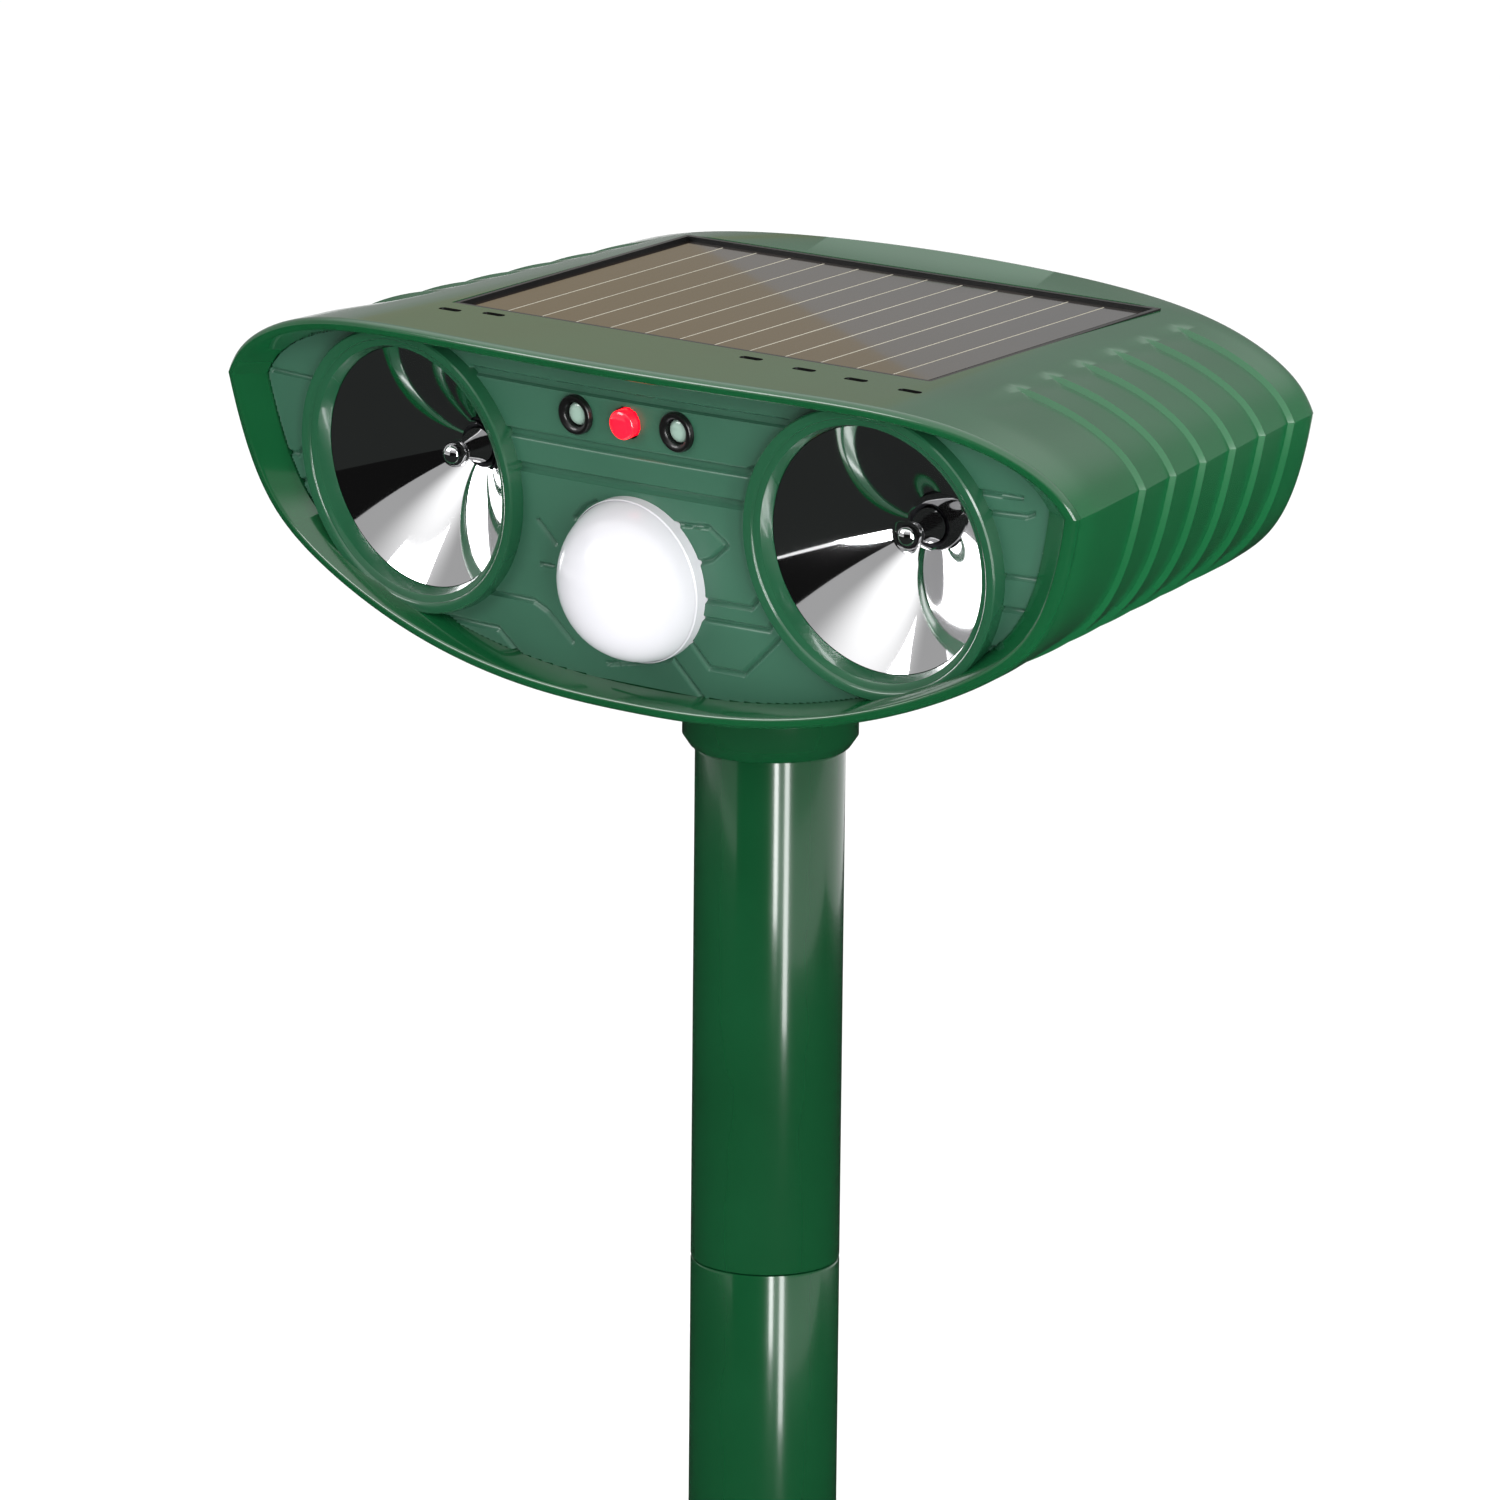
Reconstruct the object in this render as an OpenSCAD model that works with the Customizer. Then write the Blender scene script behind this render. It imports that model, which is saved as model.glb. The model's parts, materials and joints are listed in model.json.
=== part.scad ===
// Solar ultrasonic pest repeller: a hooded head with two horns, a motion sensor and a solar panel,
// on a push-together pole and a ground spike.
// +Z is up and the front of the head looks towards -Y. The origin is on the pole's axis at ground
// level, which is the underside of the spike's flange.

/* [Head] */
// Width of the head across its front edge
head_w = 178.5; // [160:0.5:190]
// Distance from the front edge, at the middle, back to the pole's axis
pole_back = 41.7; // [38:0.1:46]
// Depth of the head at its middle
head_d = 88; // [86:0.5:92]
// How far the rear wall's ends are set forward of its middle
back_bow = 4; // [0:0.5:6]
// How far the front edge's ends are set back from its middle
front_bow = 7.6; // [4:0.1:9]
// How far the face panel's ends are set back from its middle
face_bow = 4.9; // [3:0.1:5.5]
// Backward lean of the front towards the ground, in degrees
face_tilt = 7; // [4:0.5:9]
// Wall thickness of the two shells
wall = 2.2; // [1.8:0.1:2.6]
// Their thickness at the front edge, where the bezel's skirt lines them
wall_front = 1.1; // [1:0.1:1.2]
// Height of the side crease above the horns' centres, at the front
crease_z = 11.2; // [9:0.1:13]
// Rise of the crease for each millimetre of depth
crease_rise = 0.062; // [0.03:0.001:0.08]
// Narrowing of each side for each millimetre of depth
side_taper = 0.118; // [0.08:0.001:0.14]
// Height of the roof over the crease, at the front
roof_h = 15.3; // [14:0.1:17]
// Height of the roof's middle over the horns' centres, at the back
roof_back_z = 32.8; // [31:0.1:34]
// Depth of the keel under the crease, at the front
keel_h = 43.6; // [41:0.1:45]
// Height of the keel's middle relative to the horns' centres, at the back
keel_back_z = -24; // [-27:0.5:-22]

/* [Ribs] */
// Number of louvre ribs along each side
rib_count = 6; // [2:1:6]
// Distance of the first rib behind the front edge
rib_first = 26.9; // [22:0.1:28]
// Distance between ribs
rib_pitch = 9.62; // [8:0.01:9.7]
// Height of each rib's step
rib_step = 0.8; // [0.4:0.1:1.2]

/* [Horns and sensor] */
// Distance of each horn's centre from the middle
horn_x = 48.5; // [46:0.1:50]
// Radius of the horn's mouth
horn_r = 20.5; // [18:0.1:21]
// Outward turn of each horn, in degrees
horn_splay = 3.4; // [0:0.1:7]
// Depth of the horn's bowl
horn_depth = 14; // [13:0.1:16]
// Radius of the motion sensor's dome
dome_r = 13.5; // [12:0.1:14]
// Height of the dome above its base
dome_h = 10.8; // [9:0.1:12]
// Height of the dome's centre relative to the horns' centres
dome_z = -11.2; // [-12:0.1:-10]
// Height of the row of lamps above the horns' centres
lamp_z = 15.1; // [14.5:0.1:16]
// Distance between lamps
lamp_pitch = 10.6; // [10:0.1:11.5]

/* [Solar panel] */
// Width of the solar panel
panel_w = 98.6; // [90:0.1:99]
// Depth of the solar panel, front to back
panel_d = 59; // [50:0.5:60]
// Distance from the front edge to the panel
panel_y = 19.9; // [19:0.1:22]
// Number of cells in the panel
cell_count = 13; // [8:1:16]
// Rise of the deck around the panel for each millimetre of depth
deck_rise = 0.055; // [0.02:0.005:0.06]

/* [Pole and spike] */
// Outer diameter of the pole
pole_d = 25; // [20:0.5:28]
// Visible length of each of the pole's two tubes
pole_show = 88; // [70:0.5:120]
// Length of the spigot that joins one piece of the pole to the next
spigot_l = 14; // [10:0.5:15]
// Length of the spike below ground
spike_l = 125; // [100:1:150]
// Diameter of the spike's flange
flange_d = 44; // [36:1:60]

/* [Hidden] */
$fn = 64;

fit = 0.05;        // radial clearance of a running fit
gap = 0.2;         // clearance between neighbouring fixed pieces
cut = 1;           // overrun of a cutting tool past a face
flange_t = 3;      // thickness of the spike's flange
boss_drop = 44.2;  // from the horns' centres down to the end of the head's pole socket
seam_1 = flange_t + pole_show;             // height of the joint between the two tubes
seam_2 = seam_1 + pole_show;               // height of the joint between pole and head
horn_z = seam_2 + boss_drop;               // height of the horns' centres above ground
half_w = head_w / 2;
segments = 30;                             // strips across each half of the hood's outline

// ---- Outline of the hood -------------------------------------------------------------------
// s runs from -1 at one tip to 1 at the other; side is 1 above the crease and -1 below it.

// Drop of the roof from its middle, as a share of its height; the arch grows towards the back
function roof_drop(s, arch) = arch * s^2 + (0.85 - arch) * s^6 + 0.15 * s^40;
// Rise of the keel from its middle, as a share of its depth
function keel_rise(s) = 0.59 * s^2.5 + 0.41 * s^21;

// Distance of the bowed front behind its own middle, at x
function bow_at(x) = front_bow * (x / half_w)^2;

// A point of the front edge's outline, moved inwards by inset and straight back by depth
function front_point(s, side, inset, depth) =
    let (a = abs(s),
         z = side > 0 ? crease_z + (roof_h - inset) * (1 - roof_drop(a, 0))
                      : crease_z - (keel_h - inset) * (1 - keel_rise(a)),
         x = s * (half_w - inset),
         y = depth + bow_at(x))
    [x, y * cos(face_tilt) - z * sin(face_tilt),
     z * cos(face_tilt) + y * sin(face_tilt)];

// The same for the rear edge, which stands upright
function back_point(s, side, inset, trim) =
    let (a = abs(s),
         y = head_d - trim - back_bow * a^2,
         crease = crease_z + crease_rise * y,
         z = side > 0 ? crease + (roof_back_z - inset - crease) * (1 - roof_drop(a, 0.3))
                      : crease - (crease - keel_back_z - inset) * (1 - keel_rise(a)))
    [s * (half_w - side_taper * y - inset), y, z];

// How strongly the ribs show at distance x from the middle
function fade(x, start, length) =
    let (t = min(1, max(0, (abs(x) - start) / length))) t * t * (3 - 2 * t);
function rib_fade(x, side) = side > 0 ? fade(x, 58, 10) : fade(x, 30, 12);

// Rows of the hood's skin between the front and rear edges: [distance back, sink of the rib]
rib_rows = [for (k = [0 : rib_count - 1]) for (j = [0, 1])
    [rib_first + k * rib_pitch + 0.3 * j, j == 0 ? rib_step : 0]];
last_row = len(rib_rows) + 1;
bezel_t = 1.3;     // depth of the bezel's land in front of the shells

function skin_point(row, i, side, inset, trim) =
    let (s = sin(-90 + 180 * i / segments),
         x = s * half_w,
         ribbed = row > 0 && row < last_row && inset == 0,
         sink = ribbed ? rib_rows[row - 1][1] * rib_fade(x, side) : 0,
         f = front_point(s, side, sink + (inset == 0 ? 0 : wall_front), bezel_t),
         b = back_point(s, side, inset + sink, trim),
         y = row == 0 ? f.y : row == last_row ? b.y : rib_rows[row - 1][0],
         v = (y - f.y) / (b.y - f.y))
    f + (b - f) * v;

// The rear wall's edge along the crease
function crease_point(i, inset, trim) =
    let (b = back_point(sin(-90 + 180 * i / segments), 1, inset, trim))
    [b.x, b.y, crease_z + crease_rise * b.y];

function skin(side, inset, trim) = concat(
    [for (row = [0 : last_row]) for (i = [0 : segments]) skin_point(row, i, side, inset, trim)],
    [for (i = [1 : segments - 1]) crease_point(i, inset, trim)]);

// Number of a skin's point; the extra row along the crease shares its ends with the rear edge
function at(row, i) = row <= last_row ? row * (segments + 1) + i
    : i == 0 ? at(last_row, 0)
    : i == segments ? at(last_row, segments)
    : (last_row + 1) * (segments + 1) + i - 1;
function cells(base, flip) = [for (row = [0 : last_row]) for (i = [0 : segments - 1])
    let (q = [at(row, i), at(row, i + 1), at(row + 1, i + 1), at(row + 1, i)] + [base, base, base, base])
    for (t = [[q[0], q[1], q[2]], [q[0], q[2], q[3]]])
        if (t[0] != t[1] && t[1] != t[2] && t[0] != t[2]) flip ? [t[2], t[1], t[0]] : t];
// The skin's border, once round
border = concat([for (i = [0 : segments]) at(0, i)],
    [for (row = [1 : last_row]) at(row, segments)],
    [for (i = [segments - 1 : -1 : 0]) at(last_row + 1, i)],
    [for (row = [last_row - 1 : -1 : 1]) at(row, 0)]);
function stitches(base, flip) = [for (k = [0 : len(border) - 1])
    let (a = border[k], b = border[(k + 1) % len(border)])
    for (t = [[a, a + base, b + base], [a, b + base, b]]) flip ? [t[2], t[1], t[0]] : t];

// One half of the clamshell, as one closed skin
module half_shell(side) {
    outer = skin(side, 0, 0);
    inner = skin(side, wall, wall);
    up = side > 0;
    polyhedron(concat(outer, inner),
        concat(cells(0, up), cells(len(outer), !up), stitches(len(outer), up)));
}

// ---- Frames of reference -------------------------------------------------------------------
module in_head() translate([0, -pole_back, horn_z]) children();
// x across, y into the head, z up the leaning face
module on_face() in_head() rotate([face_tilt, 0, 0]) children();
face_r = half_w^2 / (2 * face_bow);        // radius of the face panel's bow, seen from above
face_depth = 6.2;                          // from the bezel's front down to the face panel
face_t = 2.2;                              // thickness of the face panel
// Stands on the horn's axis with +z looking out of the mouth; hand is -1 left and 1 right
module on_horn(hand) on_face()
    translate([hand * horn_x, face_depth + face_bow * (horn_x / half_w)^2, 0])
        rotate([0, 0, hand * horn_splay]) rotate([90, 0, 0]) children();
// The deck's plane, with its origin at the front edge's middle; y runs back along the deck
deck_z = 26;
deck_angle = atan(deck_rise);
module on_deck() in_head() translate([0, 0, deck_z]) rotate([deck_angle, 0, 0]) children();
module round_bar(size, r) linear_extrude(size.z)
    for (p = [0 : 1]) {
        translate([p * r, (1 - p) * r]) square([size.x - 2 * p * r, size.y - 2 * (1 - p) * r]);
        for (q = [0 : 1])
            translate([p == 0 ? r : size.x - r, q == 0 ? r : size.y - r]) circle(r);
    }
module centred_bar(size, r) translate([-size.x / 2, -size.y / 2, 0]) round_bar(size, r);

// ---- Shells --------------------------------------------------------------------------------
recess = 0.7;      // from the deck down to the panel's face
panel_t = 2;       // thickness of the panel
frame_t = 1;       // width of the black frame around the panel
pocket_floor = 1.6;
tray_drop = recess + panel_t + pocket_floor;
deck_end = 84;     // where the roof's arch stands up behind the deck
// Places of the clamshell's screws: x, y in the head
screw_at = [[-66, 32], [66, 32], [-58, 70], [58, 70]];
screw_boss_r = 4;
screw_r = 1.5;
screw_head_r = 2.8;
screw_head_t = 1.8;
screw_base = [-14, -14, -11, -11];         // underside of each screw's head
screw_foot = [-15.9, -15.9, -14.4, -14.4]; // middle of the keel's wall under each screw
screw_top = [23.4, 23.4, 26.6, 26.6];      // middle of the roof's wall over each screw
screw_slope = [28, -28, 24, -24];          // slope of the keel at each screw, in degrees
split_z = [for (p = screw_at) crease_z + crease_rise * p.y];

module top_shell() color("darkgreen") difference() {
    union() {
        in_head() half_shell(1);
        on_deck() translate([-panel_w / 2 - 4, panel_y - 4, -tray_drop])
            cube([panel_w + 8, panel_d + 8, tray_drop - 0.01]);
        in_head() for (k = [0 : 3])
            translate([screw_at[k].x, screw_at[k].y, split_z[k]])
                cylinder(h = screw_top[k] - split_z[k], r = screw_boss_r);
    }
    on_deck() translate([-half_w, 0, 0]) cube([head_w, deck_end, 12]);
    on_deck() translate([-panel_w / 2 - frame_t, panel_y - frame_t, -recess - panel_t])
        cube([panel_w + 2 * frame_t, panel_d + 2 * frame_t, recess + panel_t + cut]);
    on_deck() for (x = [-6, 6])
        translate([x, panel_y + panel_d - 5, -tray_drop - cut]) cylinder(h = tray_drop, r = 1.5);
    in_head() for (k = [0 : 3])
        translate([screw_at[k].x, screw_at[k].y, split_z[k] - cut])
            cylinder(h = 6 + cut, r = screw_r + fit);
}

socket_r = 11;     // radius of a spigot in the pole
boss_r = 14.65;    // radius of the head's pole socket outside
socket_top = -boss_drop + spigot_l + 1;
ring_z = -boss_drop + 4;
ring_h = 3;
ring_groove_r = 12.2; // outside radius of the socket's friction ring
floor_z = -28.4;   // height of the keel over the pole
rear_face = 84.6;  // distance back of the rear plate's shoulder
rear_z = -2;       // height of the rear plate's centre
rear_size = [70, 24];
board_z = -13;     // underside of the main board
board_t = 1.6;
board_posts = [[-36, 67.5], [36, 67.5], [-36, 79], [36, 79]];
post_foot = -21;   // inside the keel's wall, under the main board's posts
holder_posts = [[-25, 53], [25, 53]];
holder_foot = -25;

module bottom_shell() color("darkgreen") difference() {
    union() {
        in_head() half_shell(-1);
        translate([0, 0, seam_2]) {
            cylinder(h = 1.9, r1 = pole_d / 2 + 0.3, r2 = boss_r);
            translate([0, 0, 1.9]) cylinder(h = boss_drop - 1.9 + floor_z + 3, r = boss_r);
        }
        in_head() for (k = [0 : 3]) translate([screw_at[k].x, screw_at[k].y, 0]) difference() {
            translate([0, 0, screw_foot[k] - 4])
                cylinder(h = split_z[k] - screw_foot[k] + 4, r = screw_boss_r);
            translate([0, 0, screw_foot[k]]) rotate([0, screw_slope[k], 0])
                translate([-10, -10, -10]) cube([20, 20, 10]);
        }
        in_head() for (p = board_posts)
            translate([p.x, p.y, post_foot]) cylinder(h = board_z - post_foot, r = 3);
        in_head() for (p = holder_posts)
            translate([p.x, p.y, holder_foot])
                cylinder(h = battery_z - battery_r - 1.5 - holder_foot, r = 3);
    }
    translate([0, 0, seam_2 - cut])
        cylinder(h = spigot_l + 1 + cut, r = socket_r + fit);
    translate([0, 0, horn_z + ring_z - gap]) cylinder(h = ring_h + 2 * gap, r = ring_groove_r + fit);
    in_head() for (k = [0 : 3])
        translate([screw_at[k].x, screw_at[k].y, 0]) {
            translate([0, 0, screw_base[k] - 20])
                cylinder(h = 20 + screw_head_t, r = screw_head_r + gap);
            translate([0, 0, screw_base[k]])
                cylinder(h = split_z[k] - screw_base[k] + cut, r = screw_r + fit);
        }
    in_head() for (p = board_posts)
        translate([p.x, p.y, board_z - 6]) cylinder(h = 6 + cut, r = 1.05);
    in_head() translate([0, head_d + cut, rear_z]) rotate([90, 0, 0])
        centred_bar([rear_size.x + 2 * gap, rear_size.y + 2 * gap, 8], 4);
}

// ---- Front -----------------------------------------------------------------------------------
// The bezel's section: [inset of its height, depth, inset of its width, depth at the tips]
bezel_section = [[0, 1, 0, 1], [0.3, 0.3, 0.3, 0.3], [0.8, 0, 0.8, 0], [1.5, 0, 1.6, 0],
    [2, 0.4, 2.4, 0.4], [2.5, face_depth, 7, 3.5], [2.7, 8.5, 7, 6.5], [3.7, 8.5, 8.6, 6.5],
    [3.7, 10, 8.6, 8], [2, 10, 2.8, 8], [wall_front + 0.2, bezel_t, wall_front + 0.3, bezel_t],
    [0, bezel_t - 0.05, 0, bezel_t - 0.05]];
function loop_s(j) = j <= segments ? sin(-90 + 180 * j / segments) : sin(270 - 180 * j / segments);
function loop_point(j, p) =
    let (s = loop_s(j),
         a = abs(s),
         x = s * (half_w - p[2]),
         z = j <= segments ? crease_z + (roof_h - p[0]) * (1 - roof_drop(a, 0))
                           : crease_z - (keel_h - p[0]) * (1 - keel_rise(a)),
         y = p[1] + (p[3] - p[1]) * a^2 + bow_at(x))
    [x, y * cos(face_tilt) - z * sin(face_tilt), z * cos(face_tilt) + y * sin(face_tilt)];
module front_bezel() color("green") {
    n = 2 * segments;
    m = len(bezel_section);
    in_head() polyhedron(
        [for (j = [0 : n - 1]) for (p = bezel_section) loop_point(j, p)],
        [for (j = [0 : n - 1]) for (k = [0 : m - 1])
            let (a = j * m, b = (j + 1) % n * m, l = (k + 1) % m)
            for (t = [[a + k, b + k, b + l], [a + k, b + l, a + l]]) t]);
}

// Outline of the face panel, flat on the leaning face
face_inset = 2.85;     // of its height
face_side = 7.4;       // of each side
face_outline = [for (j = [0 : 2 * segments - 1])
    let (s = loop_s(j), a = abs(s))
    [s * (half_w - face_side),
     j <= segments ? crease_z + (roof_h - face_inset) * (1 - roof_drop(a, 0))
                   : crease_z - (keel_h - face_inset) * (1 - keel_rise(a))]];
// A slab that follows the face's bow, from depth back by t
module bowed_plate(depth, t) translate([0, 0, -half_w]) linear_extrude(head_w)
    translate([0, depth + face_r]) difference() {
        circle(face_r, $fn = 256);
        circle(face_r - t, $fn = 256);
        translate([-face_r - cut, -face_r / 2]) square([2 * face_r + 2 * cut, 2 * face_r]);
    }
ring_r = 24.6;     // outer radius of the raised ring round each horn
ring_proud = 2.2;  // height of that ring over the face
ring_in = 21.3;    // radius of the ring's inner edge
ring_low = 1.3;    // height of the ring at that edge
lip = 1.2;         // from the face down to the horn's edge
face_posts = [[-17, -20], [17, -20], [-17, 8], [17, 8]];
module face_panel() color("seagreen") difference() {
    union() {
        intersection() {
            union() {
                on_face() bowed_plate(face_depth, face_t);
                for (hand = [-1, 1]) on_horn(hand) translate([0, 0, -face_t]) {
                    cylinder(h = face_t, r = ring_r);
                    translate([0, 0, face_t])
                        cylinder(h = ring_proud, r1 = ring_r, r2 = ring_r - 0.3);
                }
            }
            on_face() translate([0, 30, 0]) rotate([90, 0, 0]) linear_extrude(32)
                polygon(face_outline);
        }
        on_face() for (p = face_posts) translate([p.x, board_depth, p.y]) rotate([90, 0, 0])
            cylinder(h = board_depth - face_depth - 1, r = 2.4);
    }
    on_face() for (p = face_posts) translate([p.x, board_depth + cut, p.y]) rotate([90, 0, 0])
        cylinder(h = 6 + cut, r = 1.05);
    for (hand = [-1, 1]) on_horn(hand) {
        translate([0, 0, -10]) cylinder(h = 10, r = horn_r + 0.1);
        translate([0, 0, -lip])
            cylinder(h = ring_low + lip, r1 = horn_r + 0.1, r2 = ring_in);
        translate([0, 0, ring_low - 0.01])
            cylinder(h = ring_proud - ring_low + 0.02, r1 = ring_in, r2 = ring_r - 0.5);
    }
    on_face() {
        translate([0, 20, dome_z]) rotate([90, 0, 0]) cylinder(h = 20, r = dome_r - 1.5 + gap);
        for (k = [-1 : 1]) translate([k * lamp_pitch, 20, lamp_z]) rotate([90, 0, 0])
            cylinder(h = 20, r = 2.9 + gap);
    }
}

// ---- Horns -----------------------------------------------------------------------------------
// The bowl is nearly a cone, and opens a little faster towards the mouth
throat_r = 3.7;
function bowl_r(t) = throat_r + (horn_r - throat_r) * (0.9 * t + 0.1 * t^2);
bowl_steps = 12;
module horn_bowl() {
    inside = [for (k = [0 : bowl_steps]) let (t = k / bowl_steps)
        [bowl_r(t), -horn_depth * (1 - t) - lip]];
    outside = [for (k = [bowl_steps : -1 : 0]) let (t = k / bowl_steps)
        [bowl_r(t) + (t == 1 ? 0 : 1), -horn_depth * (1 - t) - lip - (t == 1 ? 1.2 : 0.6)]];
    rotate_extrude() polygon(concat(inside, outside));
}
module phase_plug() {
    translate([0, 0, driver_z + 6]) sphere(2.3);
    translate([0, 0, driver_z]) cylinder(h = 4.6, r1 = 3.4, r2 = 1.3);
}
driver_z = -horn_depth - lip - 0.6;
driver_r = 14.6;
module driver() {
    translate([0, 0, driver_z - 7]) cylinder(h = 7, r = driver_r);
    translate([0, 0, driver_z - 10]) cylinder(h = 3.01, r = 9);
}
module horn_left() color("silver") on_horn(-1) horn_bowl();
module horn_right() color("silver") on_horn(1) horn_bowl();
module phase_plug_left() color("silver") on_horn(-1) phase_plug();
module phase_plug_right() color("silver") on_horn(1) phase_plug();
module driver_left() color("dimgray") on_horn(-1) driver();
module driver_right() color("dimgray") on_horn(1) driver();

// ---- Sensor and lamps ------------------------------------------------------------------------
dome_base = 4;     // depth of the dome's base behind the bezel's front
dome_sphere = (dome_r^2 + dome_h^2) / (2 * dome_h);
module above_base(r) intersection() {
    translate([0, 0, dome_h - dome_sphere]) sphere(r);
    cylinder(h = 20, r = 20);
}
module pir_lens() color("white") on_face() translate([0, dome_base, dome_z]) rotate([90, 0, 0])
    difference() {
        union() {
            above_base(dome_sphere);
            translate([0, 0, dome_base - face_depth])
                cylinder(h = face_depth - dome_base, r = dome_r + 0.3);
            translate([0, 0, dome_base - face_depth - 4]) cylinder(h = 4.01, r = dome_r - 1.5);
        }
        above_base(dome_sphere - 1.2);
        translate([0, 0, dome_base - face_depth - 4 - cut])
            cylinder(h = 4 + face_depth - dome_base + cut + 0.01, r = dome_r - 2.6);
    }
board_depth = 15;  // depth of the sensor board's front
module pir_sensor() color("silver") on_face() translate([0, board_depth, dome_z])
    rotate([90, 0, 0]) {
        cylinder(h = 0.6, r = 4.6);
        cylinder(h = 4.2, r = 4.1);
    }
module lamp(r, proud) rotate([90, 0, 0]) {
    cylinder(h = 1, r = 2.7);
    cylinder(h = board_depth - face_depth + proud - r * 0.4, r = r);
    translate([0, 0, board_depth - face_depth + proud - r * 0.4])
        intersection() {
            translate([0, 0, -r * 1.05]) sphere(r * 1.45);
            cylinder(h = r, r = r);
        }
}
module led_left() color("honeydew") on_face()
    translate([-lamp_pitch, board_depth, lamp_z]) lamp(2, 0.3);
module led_centre() color("red") on_face() translate([0, board_depth, lamp_z]) {
    lamp(2.4, 1.2);
    translate([0, -board_depth + face_depth, 0]) rotate([90, 0, 0]) difference() {
        cylinder(h = 0.7, r = 3.8);
        translate([0, 0, -cut]) cylinder(h = 3, r = 2.3);
    }
}
module led_right() color("honeydew") on_face()
    translate([lamp_pitch, board_depth, lamp_z]) lamp(2, 0.3);
module lamp_bezel() rotate([90, 0, 0]) difference() {
    union() {
        cylinder(h = 0.9, r1 = 3.4, r2 = 3.1);
        translate([0, 0, -3]) cylinder(h = 3.01, r = 2.9);
    }
    translate([0, 0, -3 - cut]) cylinder(h = 6, r = 2.1);
}
module led_bezel_left() color("black") on_face()
    translate([-lamp_pitch, face_depth, lamp_z]) lamp_bezel();
module led_bezel_right() color("black") on_face()
    translate([lamp_pitch, face_depth, lamp_z]) lamp_bezel();
module sensor_board() color("darkolivegreen") on_face() difference() {
    translate([0, board_depth + 1.6, -2]) rotate([90, 0, 0]) centred_bar([40, 42, 1.6], 2);
    for (p = face_posts) translate([p.x, board_depth + 3, p.y]) rotate([90, 0, 0])
        cylinder(h = 4, r = 1.3);
}

// ---- Solar panel -----------------------------------------------------------------------------
cell_pitch = (panel_w - 3) / cell_count;
cell_t = 0.2;
module solar_panel() color("saddlebrown") on_deck()
    translate([-panel_w / 2, panel_y, -recess - panel_t]) cube([panel_w, panel_d, panel_t - cell_t]);
module solar_cells() color("black") on_deck()
    for (k = [0 : cell_count - 1])
        translate([-panel_w / 2 + 1.5 + k * cell_pitch + 0.2, panel_y + 1.5, -recess - cell_t])
            cube([cell_pitch - 0.4, panel_d - 3, cell_t]);
module solar_frame() color("black") on_deck() difference() {
    translate([-panel_w / 2 - frame_t + fit, panel_y - frame_t + fit, -recess - panel_t])
        cube([panel_w + 2 * frame_t - 2 * fit, panel_d + 2 * frame_t - 2 * fit, recess + panel_t - 0.1]);
    translate([-panel_w / 2 - fit, panel_y - fit, -recess - panel_t - cut])
        cube([panel_w + 2 * fit, panel_d + 2 * fit, 10]);
}

// ---- Inside ------------------------------------------------------------------------------------
board_top = board_z + board_t;
module main_board() color("darkgreen") in_head() difference() {
    translate([0, 73.2, board_z]) centred_bar([80, 17.5, board_t], 2);
    for (p = board_posts) translate([p.x, p.y, board_z - cut]) cylinder(h = 4, r = 1.3);
}
module board_chips() color("dimgray") in_head() {
    translate([-18, 68, board_top]) cube([8, 8, 1.5]);
    translate([9, 66, board_top]) cube([5, 6, 1.4]);
    translate([16, 66, board_top]) cube([4, 5, 1.4]);
    translate([26, 66, board_top]) cube([4, 3.5, 1.2]);
}
module board_capacitors() color("steelblue") in_head()
    for (x = [-31, -25]) translate([x, 69, board_top]) cylinder(h = 8, r = 2.5);
usb_x = 24;        // places of the sockets and knobs across the rear
mode_x = -20;
level_x = 4;
flange = 1.6;      // thickness of the rear plate's flange
usb_z = board_top + 1.65;
module usb_socket() color("silver") in_head() translate([usb_x, rear_face - 0.6, board_top]) {
    difference() {
        translate([-4.5, -7.4, 0]) cube([9, 7.4, 3.3]);
        translate([-4.1, -6.4, 0.4]) cube([8.2, 6.5 + cut, 2.5]);
    }
    translate([-3.3, -6.5, 1.3]) cube([6.6, 3.2, 0.7]);
}
// A rotary control behind the rear plate, with a nose through it and a bore for its shaft
shaft_r = 1.5;
nose_r = 3;
module on_rear(x, depth) in_head() translate([x, depth, rear_z + 2]) rotate([90, 0, 0]) children();
module control(x, length) difference() {
    union() {
        on_rear(x, rear_face - flange) cylinder(h = length, r = 7);
        on_rear(x, rear_face + 1) cylinder(h = flange + 1.01, r = nose_r);
    }
    on_rear(x, rear_face + 2) cylinder(h = 9, r = shaft_r + fit);
}
module mode_switch() color("royalblue") control(mode_x, 9);
module level_pot() color("royalblue") control(level_x, 7.5);

battery_r = 9.2;
battery_l = 65;
battery_y = 53;
battery_z = 0;
module battery() color("slateblue") in_head()
    translate([-battery_l / 2, battery_y, battery_z]) rotate([0, 90, 0])
        cylinder(h = battery_l, r = battery_r);
module battery_holder() color("black") in_head() difference() {
    translate([-battery_l / 2 - 3, battery_y - battery_r - 1.6, battery_z - battery_r - 1.5])
        cube([battery_l + 6, 2 * battery_r + 3.2, battery_r + 4]);
    translate([-battery_l / 2 - 0.1, battery_y, battery_z]) rotate([0, 90, 0])
        cylinder(h = battery_l + 0.2, r = battery_r + 0.1);
    translate([-battery_l / 2 - 0.1, battery_y - battery_r - 0.1, battery_z])
        cube([battery_l + 0.2, 2 * battery_r + 0.2, 20]);
}

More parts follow.
